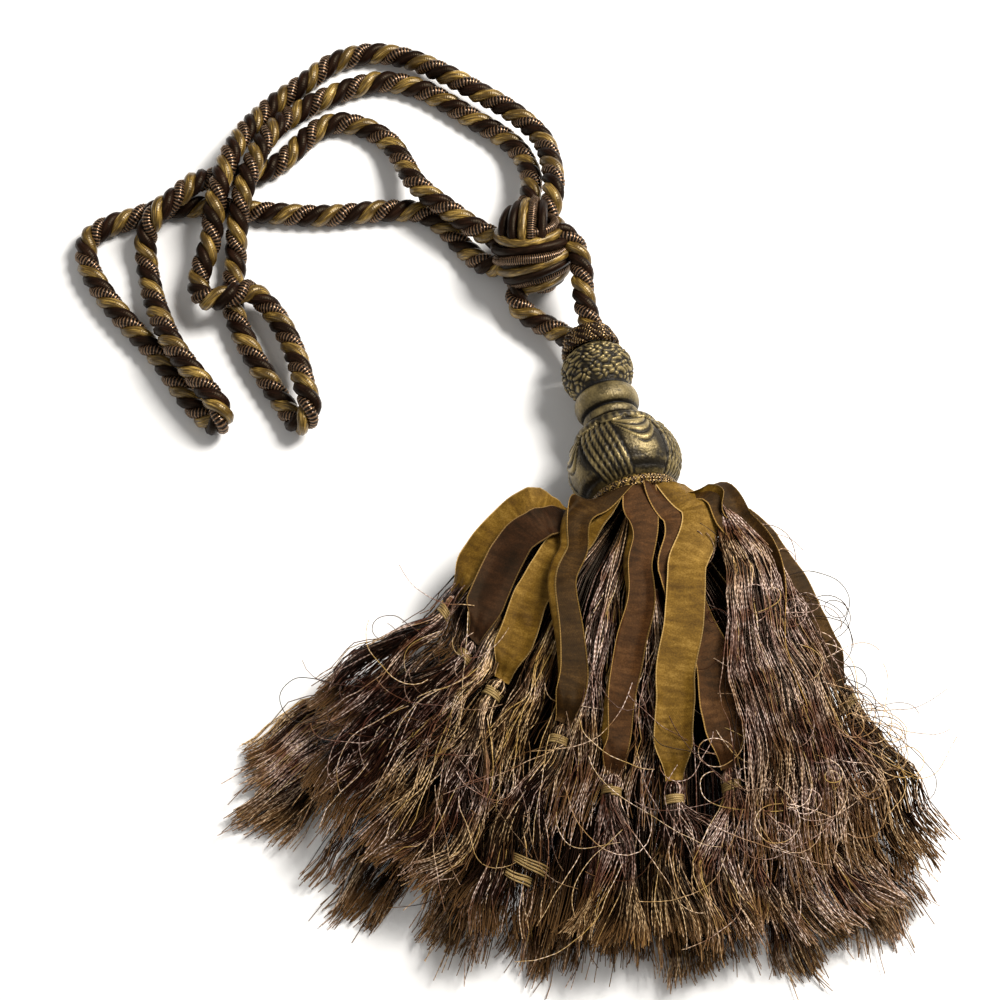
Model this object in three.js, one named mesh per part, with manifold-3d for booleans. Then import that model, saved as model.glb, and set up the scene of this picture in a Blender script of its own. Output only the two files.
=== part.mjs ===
// A rope curtain tieback with a ribbon and thread tassel, lying on a table.
// Millimetres, +Z up. The origin is on the table under the middle of the piece.
// +Y runs from the tassel's fringe to the far side of the rope loops, +X to the right.
import * as THREE from "three";
import { mergeVertices } from "three/addons/utils/BufferGeometryUtils.js";
import Module from "manifold-3d";

const wasm = await Module();
wasm.setup();

const { degToRad, lerp, smoothstep } = THREE.MathUtils;

// Moves the hand-placed routes so that the origin is under the middle of the piece
const ORIGIN_SHIFT = new THREE.Vector3(3.7, -4.7, 0);

// Fit between neighbouring pieces
const CLEARANCE = 0.3;

// Three-strand rope, laid to the left
const ROPE_DIAMETER = 12;
const ROPE_GROOVE_RADIUS = 4.1;
const ROPE_STRANDS = 3;
const ROPE_LAY = 22;
const STEPS_PER_LAY = 6;

// Wound knot
const KNOT_CENTRE = new THREE.Vector3(23, 114, 21.5);
const KNOT_RADIUS = 20.4;
const KNOT_AXIS = new THREE.Vector3(-0.04, 0.6, 0.8).normalize();
const KNOT_TURNS = 5;
const KNOT_RIDGE = 1.3;
const KNOT_ROWS = 21;
const KNOT_COLUMNS = 18;

// Carved tassel head, turned about an axis that lies almost level
const HEAD_BASE = new THREE.Vector3(71.2, -29.8, 27.9);
const HEAD_AXIS = new THREE.Vector3(-18.55, 83.1, -5.4).normalize();
const HEAD_COLUMNS = 26;
const SWAG_COUNT = 4;
const SWAG_DEPTH = 0.8;
const SWAG_START = 7;
const SWAG_END = 36.9;
const SCALE_COUNT = 10;
const SCALE_DEPTH = 0.8;
const SCALE_START = 64.3;
const SCALE_END = 84.3;
const SCALE_PITCH = 7;
const HEAD_LENGTH = 85.3;

// Cords wound round the head's two ends
const TOP_CORD_START = HEAD_LENGTH + CLEARANCE;
const TOP_CORD_PITCH = 4;
const TOP_CORD_TURNS = 3;
const TOP_CORD_WIDE = 15.2;
const TOP_CORD_NARROW = 12.8;
const TOP_CORD_COLUMNS = 16;
const BASE_CORD_RADIUS = 19.9;
const BASE_CORD_HALF = 2.3;
const BASE_CORD_AT = 1.4;

// Tassel fan: strands leave the head's base and spread over the table
const FAN_MIDDLE = -9;
const FAN_HALF = 47;
const SPREAD_REACH = 70;
const EDGE_DROP = 0.22;
const ROOT_GAP = 0.9;
const LOWER_BAND = 9.4;
const UPPER_BAND = 10.4;

// Ribbons
const RIBBON_WIDTH = 14.6;
const RIBBON_ROOT_WIDTH = 5.6;
const RIBBON_THICKNESS = 1;
const RIBBON_WIDEN_REACH = 50;
const RIBBON_GATHER = 24;
const RIBBON_END_WIDTH = 9;
const RIBBON_DIP_REACH = 26;
const RIBBON_DIP = 6.2;
const RIBBON_STEPS = 7;
const RIBBON_LAYER_GAP = 2.7;
const RIBBON_RING = 19;
const RIBBON_ROOT_ARC = 56;
const LEAVE_NEAR = 20;
const LEAVE_MID = 60;
const LEAVE_END = 110;

// Small tassel on the end of each ribbon
const NECK_RADIUS = 4.8;
const NECK_SIDES = 6;
const NECK_LENGTH = 11;
const LOCK_FILL = 0.84;
const LOCK_HEIGHT = 3.3;
const LOCK_ROW_GAP = 0.6;
const LOCK_SEAT = 3;
const LOCK_ROOT_SPREAD = 6;
const LOCK_ROOT_WIDTH = 1.3;
const LOCK_ROOT_HEIGHT = 1.5;
const LOCK_UNEVEN = 6;

// Long threads between the ribbons, rooted in a core under the head
const CORE_RADIUS = 15.4;
const CORE_TIP_RADIUS = 9;
const CORE_LENGTH = 10;
const THREAD_ROOT_HALF = 11.5;
const THREAD_ROOT_RISE = 5;
const THREAD_FAN = 0.9;
const THREAD_REACH = 209;
const THREAD_EDGE_SHORT = 26;
const THREAD_UNEVEN = 9;
const THREAD_HEIGHT = 3.6;
const THREAD_ROOT_HEIGHT = 1.6;
const THREAD_FILL = 0.78;
const CORE_SIDES = 12;

// Rope routes: middle of the rope, x, y, z
const UPPER_LOOP = [
  [27.5, 115, 26], [34, 142, 31.5], [33.5, 165, 25.5], [28, 188, 18], [14, 205, 15.5], [-4, 219, 14],
  [-22, 231.8, 12.8], [-42, 244.8, 9.2], [-63, 251, 6.4], [-83, 245, 6.3], [-99, 231, 6.3], [-115, 216, 7],
  [-127, 195, 14], [-133.5, 175, 21], [-137.5, 157, 23], [-140, 141, 21], [-141.4, 125, 16.5],
  [-147, 101, 11.5], [-141, 89.5, 16], [-130, 89, 19.8], [-120, 95, 15], [-111, 89, 10], [-102, 75, 10],
  [-95, 58, 13], [-89, 37, 18.5], [-86.4, 28, 17.5], [-88.4, 22.3, 12.8], [-93, 22.8, 8.2],
  [-97.5, 29.5, 6.5], [-121, 69, 6.3], [-130, 94, 6.3], [-129.5, 118, 6.5], [-128.6, 135, 14.4],
  [-126, 152, 19.5], [-121, 173, 19.5], [-113.6, 194, 14.5], [-104, 209, 7.5], [-86, 222, 6.3],
  [-58, 232, 6.3], [-36, 227, 6.3], [-10, 209.5, 6.3], [14, 189, 8.5], [23, 164, 17], [22, 142, 24.5],
  [20.5, 116, 25]
];
const LOWER_LOOP = [
  [15, 110, 18], [1, 112, 12], [-10, 124, 6.7], [-21, 138, 6.3], [-34, 148, 6.3], [-53, 149, 6.3],
  [-85, 146, 6.3], [-116, 148, 6.3], [-150, 151.5, 6.3], [-170, 150, 6.3], [-185, 144, 6.3],
  [-198, 139, 6.3], [-207, 130, 6.3], [-206, 117, 6.3], [-197, 100, 6.3], [-184, 83, 6.3],
  [-166, 63, 6.3], [-148, 37, 6.3], [-138, 26, 6.3], [-133.4, 22.4, 8], [-130, 22.3, 12.6],
  [-130.3, 26.2, 17.3], [-134.5, 32, 19], [-155, 60, 18.3], [-164, 79, 13.5], [-171.5, 100, 7],
  [-175.5, 118, 6.6], [-176, 129.5, 11], [-170, 139, 19], [-160, 149, 19.6], [-152, 159, 17.5],
  [-143, 167, 10], [-132, 171, 6.3], [-120, 173, 6.3], [-110, 179, 6.3], [-90, 201, 6.3],
  [-79, 205, 6.3], [-66, 202, 6.3], [-52, 191, 8], [-43, 173, 13], [-36, 157, 18.6],
  [-15, 137.5, 18.9], [-2, 127.5, 19], [15, 117, 22]
];
const NECK_RIGHT = [
  [25, 116, 26], [37, 118, 33], [44, 112, 32], [47.5, 102, 29.5], [48.5, 88, 28], [50, 76, 27],
  [54.9, 60.9, 26]
];
const NECK_LEFT = [
  [20, 107, 17], [15.5, 91, 11.5], [23, 82, 10.5], [34, 74, 12], [42, 67, 14.8], [47.6, 59.5, 16.6]
];

// Head outline from the skirt end to the rope end: distance along the axis, radius
const HEAD_OUTLINE = [
  { at: 0, radius: 17.2 },
  { at: 4.6, radius: 17.2 },
  { at: 5.8, radius: 19.6 },
  { at: 9.2, radius: 23.3 },
  { at: 12.7, radius: 25.3 },
  { at: 16.2, radius: 26.5 },
  { at: 20.8, radius: 27 },
  { at: 25.4, radius: 26.5 },
  { at: 30, radius: 24.8 },
  { at: 33.5, radius: 22.6 },
  { at: 36.9, radius: 19.2 },
  { at: 38.1, radius: 19.4 },
  { at: 41, radius: 17.6 },
  { at: 42.7, radius: 14.5 },
  { at: 43.8, radius: 11.6 },
  { at: 45, radius: 13.2 },
  { at: 47.3, radius: 13.8 },
  { at: 49, radius: 13.2 },
  { at: 49.6, radius: 12.2 },
  { at: 50.8, radius: 14.2 },
  { at: 53.1, radius: 15.6 },
  { at: 56, radius: 15.9 },
  { at: 58.8, radius: 15.4 },
  { at: 61.1, radius: 13.8 },
  { at: 62.3, radius: 12.4 },
  { at: 65.3, radius: 14.2 },
  { at: 68.3, radius: 15.8 },
  { at: 71.8, radius: 17 },
  { at: 75.3, radius: 17.3 },
  { at: 78.8, radius: 16.8 },
  { at: 82.3, radius: 15.2 },
  { at: 84.8, radius: 13.2 },
  { at: HEAD_LENGTH, radius: 12.4 }
];

// Height of the pile over the table at a distance from the head's base
const PILE_TOP = [
  { reach: 0, height: 47 },
  { reach: 45, height: 53 },
  { reach: 102, height: 48 },
  { reach: 162, height: 39 },
  { reach: 232, height: 31 }
];

// Bell shape of the fan: swing of a strand's bearing from the middle at a distance from the head
const BELL = [
  { reach: 0, left: 1, right: 1 },
  { reach: 20, left: 1.21, right: 1.38 },
  { reach: 42, left: 1.41, right: 1.6 },
  { reach: 60, left: 1.35, right: 1.56 },
  { reach: 85, left: 1.17, right: 1.42 },
  { reach: 110, left: 1, right: 1.25 },
  { reach: 150, left: 0.98, right: 1.1 },
  { reach: 190, left: 1, right: 1 },
  { reach: 240, left: 1, right: 1 }
];

// Small tassel's neck: distance from its top, radius
const NECK_OUTLINE = [
  { along: 0, radius: 3 },
  { along: 3.5, radius: NECK_RADIUS },
  { along: 7, radius: 3.5 },
  { along: NECK_LENGTH, radius: 4.2 }
];

// Locks of one small tassel: row in its band, place across its slot, share of the slot
const TASSEL_LOCKS = [
  { row: 0, across: -0.333, share: 0.333 },
  { row: 0, across: 0, share: 0.333 },
  { row: 0, across: 0.333, share: 0.333 },
  { row: 1, across: -0.2, share: 0.36 },
  { row: 1, across: 0.2, share: 0.36 }
];

// Ribbons on top of the pile: bearing, length, roll at the far end, fringe reach, slot, colour
const UPPER_RIBBONS = [
  { bearing: -56.8, length: 98, roll: 8, reach: 178, slot: 8.6, tone: "gold" },
  { bearing: -45.6, length: 105, roll: -9, reach: 203, slot: 9.2, tone: "brown" },
  { bearing: -35, length: 111, roll: 6, reach: 209, slot: 11.8, tone: "gold" },
  { bearing: -18, length: 118, roll: -10, reach: 209, slot: 12.3, tone: "brown" },
  { bearing: -6.6, length: 135, roll: 5, reach: 206, slot: 9.8, tone: "brown" },
  { bearing: 3.2, length: 138, roll: 8, reach: 200, slot: 9.2, tone: "gold" },
  { bearing: 12.4, length: 136, roll: -6, reach: 206, slot: 8.8, tone: "brown" },
  { bearing: 24, length: 138, roll: 10, reach: 213, slot: 11.6, tone: "bronze" },
  { bearing: 36.5, length: 128, roll: -10, reach: 206, slot: 9.8, tone: "bronze" }
];

// How each of them leaves the head: root's angle round the base, bearing added near it and half way
const UPPER_LEAVES = [
  { root: -66, near: -4.5, mid: -3.5 },
  { root: -50, near: 0, mid: 0 },
  { root: -33, near: 2, mid: 2 },
  { root: -20, near: -18, mid: -8 },
  { root: 0, near: 16, mid: 5 },
  { root: 34, near: 33, mid: 11 },
  { root: 24, near: 8, mid: -1 },
  { root: 58, near: 20, mid: 10 },
  { root: 72, near: 8, mid: 4 }
];

// Ribbons under the pile, level on the table
const LOWER_RIBBONS = [
  { bearing: -55.3, length: 102, roll: 0, reach: 216, slot: 7.4, tone: "brown" },
  { bearing: -47.9, length: 109, roll: 0, reach: 229, slot: 7.7, tone: "gold" },
  { bearing: -36.8, length: 113, roll: 0, reach: 228, slot: 11.2, tone: "bronze" },
  { bearing: -24.6, length: 116, roll: 0, reach: 226, slot: 10, tone: "brown" },
  { bearing: -13.8, length: 119, roll: 0, reach: 215, slot: 10, tone: "gold" },
  { bearing: -3, length: 118, roll: 0, reach: 204, slot: 10, tone: "brown" },
  { bearing: 7.9, length: 118, roll: 0, reach: 212, slot: 10, tone: "bronze" },
  { bearing: 19.3, length: 115, roll: 0, reach: 223, slot: 10.2, tone: "brown" },
  { bearing: 30.8, length: 112, roll: 0, reach: 225, slot: 10.2, tone: "gold" }
];

// Rows of long threads: place between the ribbon bands, rise at the root, number of locks
const THREAD_ROWS = [
  { level: 0.17, rise: -THREAD_ROOT_RISE, count: 26 },
  { level: 0.5, rise: 0, count: 26 },
  { level: 0.83, rise: THREAD_ROOT_RISE, count: 26 }
];
const THREAD_STATIONS = [0, 0.2, 0.52, 1];

const FINISHES = {
  rope: new THREE.MeshStandardMaterial({ color: 0x6a4c2c, roughness: 0.5, metalness: 0 }),
  head: new THREE.MeshStandardMaterial({ color: 0x7a6238, roughness: 0.42, metalness: 0.35 }),
  cord: new THREE.MeshStandardMaterial({ color: 0x5c462e, roughness: 0.5, metalness: 0 }),
  gold: new THREE.MeshStandardMaterial({ color: 0x85612a, roughness: 0.42, metalness: 0 }),
  brown: new THREE.MeshStandardMaterial({ color: 0x50341d, roughness: 0.42, metalness: 0 }),
  bronze: new THREE.MeshStandardMaterial({ color: 0x5e4223, roughness: 0.42, metalness: 0 }),
  thread: new THREE.MeshStandardMaterial({ color: 0x544036, roughness: 0.55, metalness: 0 })
};

const UP = new THREE.Vector3(0, 0, 1);
const HEAD_SIDE = new THREE.Vector3().crossVectors(HEAD_AXIS, UP).normalize();
const HEAD_RISE = new THREE.Vector3().crossVectors(HEAD_SIDE, HEAD_AXIS).normalize();

function middleOf(points) {
  const sum = new THREE.Vector3();
  points.forEach((point) => sum.add(point));
  return sum.divideScalar(points.length);
}

// Closed skin through rings of equal point count, capped at both ends.
function closedLoft(rings) {
  const sides = rings[0].length;
  const points = rings.flat();
  const faces = [];
  for (let ring = 0; ring + 1 < rings.length; ring += 1) {
    for (let side = 0; side < sides; side += 1) {
      const a = ring * sides + side;
      const b = ring * sides + (side + 1) % sides;
      faces.push(a, b, b + sides, a, b + sides, a + sides);
    }
  }
  const end = (rings.length - 1) * sides;
  if (sides === 3) {
    faces.push(0, 2, 1, end, end + 1, end + 2);
  } else {
    const near = points.push(middleOf(rings[0])) - 1;
    const far = points.push(middleOf(rings[rings.length - 1])) - 1;
    for (let side = 0; side < sides; side += 1) {
      const next = (side + 1) % sides;
      faces.push(near, next, side, far, end + side, end + next);
    }
  }
  const geometry = new THREE.BufferGeometry().setFromPoints(points);
  geometry.setIndex(faces);
  geometry.computeVertexNormals();
  return geometry;
}

function solidOf(geometry) {
  const bare = geometry.clone();
  bare.deleteAttribute("normal");
  bare.deleteAttribute("uv");
  const merged = mergeVertices(bare, 1e-4);
  const mesh = new wasm.Mesh({
    numProp: 3,
    vertProperties: new Float32Array(merged.attributes.position.array),
    triVerts: new Uint32Array(merged.index.array)
  });
  return new wasm.Manifold(mesh);
}

function geometryOf(solid) {
  const mesh = solid.getMesh();
  const geometry = new THREE.BufferGeometry();
  geometry.setAttribute("position", new THREE.BufferAttribute(new Float32Array(mesh.vertProperties), 3));
  geometry.setIndex(new THREE.BufferAttribute(new Uint32Array(mesh.triVerts), 1));
  geometry.computeVertexNormals();
  return geometry;
}

// Value of a named column between the rows of a table.
function between(table, key, column, place) {
  let row = 0;
  while (row + 2 < table.length && place > table[row + 1][key]) {
    row += 1;
  }
  const low = table[row];
  const high = table[row + 1];
  const share = (place - low[key]) / (high[key] - low[key]);
  return lerp(low[column], high[column], THREE.MathUtils.clamp(share, 0, 1));
}

// Even, repeatable scatter between -1 and 1.
function scatter(index) {
  const wave = Math.sin(index * 12.9898) * 43758.5453;
  return 2 * (wave - Math.floor(wave)) - 1;
}

function twistedRope(route) {
  const points = route.map(([x, y, z]) => new THREE.Vector3(x, y, z));
  const path = new THREE.CatmullRomCurve3(points, false, "centripetal");
  const steps = Math.round((path.getLength() / ROPE_LAY) * STEPS_PER_LAY);
  const frames = path.computeFrenetFrames(steps, false);
  const corners = ROPE_STRANDS * 2;
  const rings = [];
  for (let step = 0; step <= steps; step += 1) {
    const centre = path.getPointAt(step / steps);
    const turn = (-2 * Math.PI * step) / STEPS_PER_LAY;
    const ring = [];
    for (let corner = 0; corner < corners; corner += 1) {
      const angle = turn + (2 * Math.PI * corner) / corners;
      const radius = corner % 2 === 0 ? ROPE_DIAMETER / 2 : ROPE_GROOVE_RADIUS;
      const point = centre.clone();
      point.addScaledVector(frames.normals[step], radius * Math.cos(angle));
      point.addScaledVector(frames.binormals[step], radius * Math.sin(angle));
      ring.push(point);
    }
    rings.push(ring);
  }
  return closedLoft(rings);
}

// Ball of rope turns wound helically round the knot's axis.
function woundKnot(growth) {
  const side = new THREE.Vector3().crossVectors(KNOT_AXIS, UP).normalize();
  const rise = new THREE.Vector3().crossVectors(KNOT_AXIS, side).normalize();
  const rings = [];
  for (let row = 1; row < KNOT_ROWS; row += 1) {
    const polar = Math.PI * (1 - row / KNOT_ROWS);
    const fade = smoothstep(Math.sin(polar), 0.15, 0.6);
    const ring = [];
    for (let column = 0; column < KNOT_COLUMNS; column += 1) {
      const angle = (2 * Math.PI * column) / KNOT_COLUMNS;
      const wave = Math.cos(2 * polar * KNOT_TURNS + angle);
      const radius = KNOT_RADIUS + growth + KNOT_RIDGE * fade * wave;
      const point = KNOT_CENTRE.clone();
      point.addScaledVector(KNOT_AXIS, radius * Math.cos(polar));
      point.addScaledVector(side, radius * Math.sin(polar) * Math.cos(angle));
      point.addScaledVector(rise, radius * Math.sin(polar) * Math.sin(angle));
      ring.push(point);
    }
    rings.push(ring);
  }
  return closedLoft(rings);
}

// Point round the head: distance along its axis, radius, angle from the right towards the top.
function headPoint(at, radius, angle) {
  const point = HEAD_BASE.clone();
  point.addScaledVector(HEAD_AXIS, at);
  point.addScaledVector(HEAD_SIDE, radius * Math.cos(angle));
  point.addScaledVector(HEAD_RISE, radius * Math.sin(angle));
  return point;
}

// Carving on the head: hanging swags on the ball, pinecone scales near the rope.
function carving(at, angle) {
  const away = 1 - smoothstep(-Math.sin(angle), 0.8, 0.95);
  if (at > SWAG_START && at < SWAG_END) {
    const panel = (angle * SWAG_COUNT) / (2 * Math.PI);
    const across = 2 * (panel - Math.floor(panel)) - 1;
    const down = (at - SWAG_START) / (SWAG_END - SWAG_START);
    const fade = Math.sin(Math.PI * down);
    return away * fade * SWAG_DEPTH * Math.cos(2 * Math.PI * (2 * down - 0.8 * across * across));
  }
  if (at > SCALE_START && at < SCALE_END) {
    const row = (at - SCALE_START) / SCALE_PITCH;
    return SCALE_DEPTH * Math.cos(SCALE_COUNT * angle + 2 * Math.PI * row) - SCALE_DEPTH / 2;
  }
  return 0;
}

function carvedHead() {
  const rings = HEAD_OUTLINE.map(({ at, radius }) => {
    const ring = [];
    for (let column = 0; column < HEAD_COLUMNS; column += 1) {
      const angle = -(2 * Math.PI * column) / HEAD_COLUMNS;
      ring.push(headPoint(at, radius + carving(at, angle), angle));
    }
    return ring;
  });
  const table = new THREE.BoxGeometry(200, 200, 20);
  table.translate(HEAD_BASE.x, HEAD_BASE.y, -10);
  return geometryOf(solidOf(closedLoft(rings)).subtract(solidOf(table)));
}

// Turns of thin cord that taper from the head to the rope.
function topCord(growth) {
  const length = TOP_CORD_PITCH * TOP_CORD_TURNS;
  const rows = TOP_CORD_TURNS * 3;
  const rings = [];
  for (let row = 0; row <= rows; row += 1) {
    const share = row / rows;
    const swell = Math.abs(Math.sin(Math.PI * share * TOP_CORD_TURNS));
    const radius = lerp(TOP_CORD_WIDE, TOP_CORD_NARROW, share) - 1 + swell + growth;
    const at = TOP_CORD_START + length * share + (row === rows ? growth : 0);
    const ring = [];
    for (let column = 0; column < TOP_CORD_COLUMNS; column += 1) {
      ring.push(headPoint(at, radius, -(2 * Math.PI * column) / TOP_CORD_COLUMNS));
    }
    rings.push(ring);
  }
  return closedLoft(rings);
}

function baseCord() {
  const ring = new THREE.TorusGeometry(BASE_CORD_RADIUS, BASE_CORD_HALF, 6, 26);
  const turn = new THREE.Matrix4().makeBasis(HEAD_SIDE, HEAD_RISE, HEAD_AXIS.clone().negate());
  turn.setPosition(headPoint(BASE_CORD_AT, 0, 0));
  return ring.applyMatrix4(turn);
}

function heading(bearing) {
  const angle = degToRad(bearing);
  return new THREE.Vector3(Math.sin(angle), -Math.cos(angle), 0);
}

function sideways(bearing) {
  const angle = degToRad(bearing);
  return new THREE.Vector3(Math.cos(angle), Math.sin(angle), 0);
}

function swingAt(reach, bearing) {
  return between(BELL, "reach", bearing < FAN_MIDDLE ? "left" : "right", reach);
}

function fanBearing(reach, bearing) {
  return FAN_MIDDLE + (bearing - FAN_MIDDLE) * swingAt(reach, bearing);
}

function pileHeight(reach, bearing) {
  const edge = (bearing - FAN_MIDDLE) / FAN_HALF;
  const settle = smoothstep(reach, 0, SPREAD_REACH);
  return between(PILE_TOP, "reach", "height", reach) * (1 - EDGE_DROP * edge * edge * settle);
}

// Point on a strand that leaves the head's base at a root place and settles into the fan.
function strandPoint(rootX, rootY, bearing, reach, height) {
  const settle = smoothstep(reach, 0, SPREAD_REACH);
  const root = HEAD_BASE.clone();
  root.addScaledVector(HEAD_AXIS, -ROOT_GAP);
  const offset = new THREE.Vector3();
  offset.addScaledVector(HEAD_SIDE, rootX).addScaledVector(HEAD_RISE, rootY);
  const point = root.clone().addScaledVector(offset, 1 - settle);
  point.addScaledVector(heading(fanBearing(reach, bearing)), reach);
  point.z = lerp(root.z + offset.z, height, settle);
  return point;
}

function ribbonBearing(row, leave, reach) {
  const early = lerp(leave.near, leave.mid, smoothstep(reach, LEAVE_NEAR, LEAVE_MID));
  return row.bearing + early * (1 - smoothstep(reach, LEAVE_MID, LEAVE_END));
}

// How a ribbon leaves the head; the lower layer's roots stand evenly and run straight out.
function ribbonLeave(index, count, upper) {
  const even = lerp(-RIBBON_ROOT_ARC, RIBBON_ROOT_ARC, index / (count - 1));
  return upper ? UPPER_LEAVES[index] : { root: even, near: 0, mid: 0 };
}

// Place of a ribbon's middle line in its layer, before any roll of its own.
function ribbonPlace(rows, index, outer, upper, reach) {
  const row = rows[index];
  const leave = ribbonLeave(index, rows.length, upper);
  const bearing = ribbonBearing(row, leave, reach);
  const arc = degToRad(leave.root);
  const radius = RIBBON_RING + outer * RIBBON_LAYER_GAP;
  const under = (1 - outer) * RIBBON_LAYER_GAP;
  const height = upper ? pileHeight(reach, row.bearing) - under : RIBBON_THICKNESS / 2 + under;
  const rootY = radius * Math.cos(arc) * (upper ? 1 : -1);
  return strandPoint(radius * Math.sin(arc), rootY, bearing, reach, height);
}

// Flat ribbon from the head's base to its small tassel.
function ribbon(rows, index, upper) {
  const row = rows[index];
  const outer = index % 2;
  const last = rows.length - 1;
  const rings = [];
  for (let step = 0; step <= RIBBON_STEPS; step += 1) {
    const reach = (row.length * step) / RIBBON_STEPS;
    const free = smoothstep(reach, SPREAD_REACH / 2, row.length);
    const dip = upper ? RIBBON_DIP * smoothstep(reach, row.length - RIBBON_DIP_REACH, row.length) : 0;
    const centre = ribbonPlace(rows, index, outer, upper, reach);
    const ahead = ribbonPlace(rows, index, outer, upper, reach + 1);
    const leave = smoothstep(reach, 0, 25);
    const gather = smoothstep(reach, row.length - RIBBON_GATHER, row.length);
    const along = HEAD_AXIS.clone().negate().lerp(ahead.sub(centre), leave);
    along.lerp(heading(fanBearing(reach, row.bearing)), gather).normalize();
    const across = ribbonPlace(rows, Math.min(index + 1, last), outer, upper, reach);
    across.sub(ribbonPlace(rows, Math.max(index - 1, 0), outer, upper, reach));
    across.addScaledVector(along, -across.dot(along)).normalize();
    const roll = outer * degToRad(row.roll) * free;
    across.applyAxisAngle(along, roll);
    const normal = new THREE.Vector3().crossVectors(along, across);
    const full = lerp(RIBBON_ROOT_WIDTH, RIBBON_WIDTH, smoothstep(reach, 0, RIBBON_WIDEN_REACH));
    const width = lerp(full, RIBBON_END_WIDTH, gather);
    centre.z += (width / 2) * Math.abs(Math.sin(roll)) - dip;
    const corner = (sideSign, faceSign) => centre.clone()
      .addScaledVector(across, (sideSign * width) / 2)
      .addScaledVector(normal, (faceSign * RIBBON_THICKNESS) / 2);
    rings.push([corner(1, 1), corner(-1, 1), corner(-1, -1), corner(1, -1)]);
  }
  return closedLoft(rings);
}

// One lock of thread: a three-sided strand with its flat side down.
function lock(stations) {
  const rings = stations.map(({ base, width, height, side }) => [
    base.clone().addScaledVector(side, width / 2),
    base.clone().addScaledVector(UP, height),
    base.clone().addScaledVector(side, -width / 2)
  ]);
  return closedLoft(rings);
}

// Small tassel: a bound neck with its locks fused into it.
function smallTassel(row, upper, seed) {
  const start = row.length + CLEARANCE;
  const flat = NECK_RADIUS * Math.cos(Math.PI / NECK_SIDES);
  const floorAt = (reach, across) => {
    const bearing = row.bearing + THREE.MathUtils.radToDeg(across / reach);
    return upper ? pileHeight(reach, bearing) - UPPER_BAND : 0;
  };
  const sideAt = (reach) => sideways(fanBearing(reach, row.bearing));
  const placed = (reach, across, height) => {
    const point = strandPoint(0, 0, row.bearing, reach, height);
    return point.addScaledVector(sideAt(reach), across);
  };
  const neck = NECK_OUTLINE.map(({ along, radius }) => {
    const centre = placed(start + along, 0, floorAt(start + along, 0) + flat);
    const ring = [];
    for (let corner = 0; corner < NECK_SIDES; corner += 1) {
      const angle = (2 * Math.PI * corner) / NECK_SIDES;
      const point = centre.clone().addScaledVector(sideAt(start), radius * Math.cos(angle));
      ring.push(point.addScaledVector(UP, radius * Math.sin(angle)));
    }
    return ring;
  });
  const solids = [solidOf(closedLoft(neck))];
  TASSEL_LOCKS.forEach(({ row: tier, across, share }, place) => {
    const tip = row.reach + LOCK_UNEVEN * scatter(seed * 7 + place);
    const from = start + NECK_LENGTH - LOCK_SEAT;
    const stations = [0, 0.4, 1].map((part) => {
      const reach = lerp(from, tip, part);
      const spread = smoothstep(part, 0, 0.8);
      const slot = 2 * reach * Math.tan(degToRad(row.slot / 2));
      const offset = lerp(across * LOCK_ROOT_SPREAD, across * slot, spread);
      const rootLift = tier === 0 ? flat - 1.4 * LOCK_ROOT_HEIGHT : flat + 0.5;
      const lift = lerp(rootLift, tier * (LOCK_HEIGHT + LOCK_ROW_GAP), spread);
      return {
        base: placed(reach, offset, floorAt(reach, offset) + lift),
        width: lerp(LOCK_ROOT_WIDTH, share * slot * LOCK_FILL, spread),
        height: lerp(LOCK_ROOT_HEIGHT, LOCK_HEIGHT, spread),
        side: sideAt(reach)
      };
    });
    solids.push(solidOf(lock(stations)));
  });
  return geometryOf(wasm.Manifold.union(solids));
}

// Long threads between the two ribbon layers, fused into the core under the head.
function threadSkirt() {
  const coreRings = [0, 1].map((end) => {
    const at = -CLEARANCE - end * CORE_LENGTH;
    const ring = [];
    for (let corner = 0; corner < CORE_SIDES; corner += 1) {
      const angle = (2 * Math.PI * corner) / CORE_SIDES;
      ring.push(headPoint(at, end ? CORE_TIP_RADIUS : CORE_RADIUS, angle));
    }
    return ring;
  });
  const solids = [solidOf(closedLoft(coreRings))];
  THREAD_ROWS.forEach(({ level, rise, count }, tier) => {
    for (let index = 0; index < count; index += 1) {
      const place = (2 * (index + 0.5)) / count - 1;
      const bearing = FAN_MIDDLE + FAN_HALF * THREAD_FAN * place;
      const shorter = THREAD_EDGE_SHORT * place * place;
      const tip = THREAD_REACH - shorter + THREAD_UNEVEN * scatter(tier * 50 + index);
      const stations = THREAD_STATIONS.map((part) => {
        const reach = tip * part;
        const settle = smoothstep(reach, 0, SPREAD_REACH);
        const room = pileHeight(reach, bearing) - UPPER_BAND - LOWER_BAND;
        const fanned = (2 * degToRad(FAN_HALF * THREAD_FAN * swingAt(reach, bearing)) * reach) / count;
        const rooted = ((2 * THREAD_ROOT_HALF) / count) * (1 - settle);
        const tierHeight = (0.7 * room) / THREAD_ROWS.length;
        const height = Math.min(THREAD_HEIGHT, lerp(THREAD_ROOT_HEIGHT, tierHeight, settle));
        const width = THREAD_FILL * (fanned + rooted);
        const bottom = LOWER_BAND + level * room - height / 2;
        const base = strandPoint(THREAD_ROOT_HALF * place, rise, bearing, reach, bottom);
        return { base, width, height, side: sideways(fanBearing(reach, bearing)) };
      });
      solids.push(solidOf(lock(stations)));
    }
  });
  return geometryOf(wasm.Manifold.union(solids));
}

function named(name, geometry, finish) {
  const mesh = new THREE.Mesh(geometry, FINISHES[finish]);
  mesh.name = name;
  return mesh;
}

function trimmed(geometry, cutters) {
  let solid = solidOf(geometry);
  cutters.forEach((cutter) => {
    solid = solid.subtract(cutter);
  });
  return geometryOf(solid);
}

const tieback = new THREE.Group();
tieback.name = "rope_tieback";
tieback.position.copy(ORIGIN_SHIFT);

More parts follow.
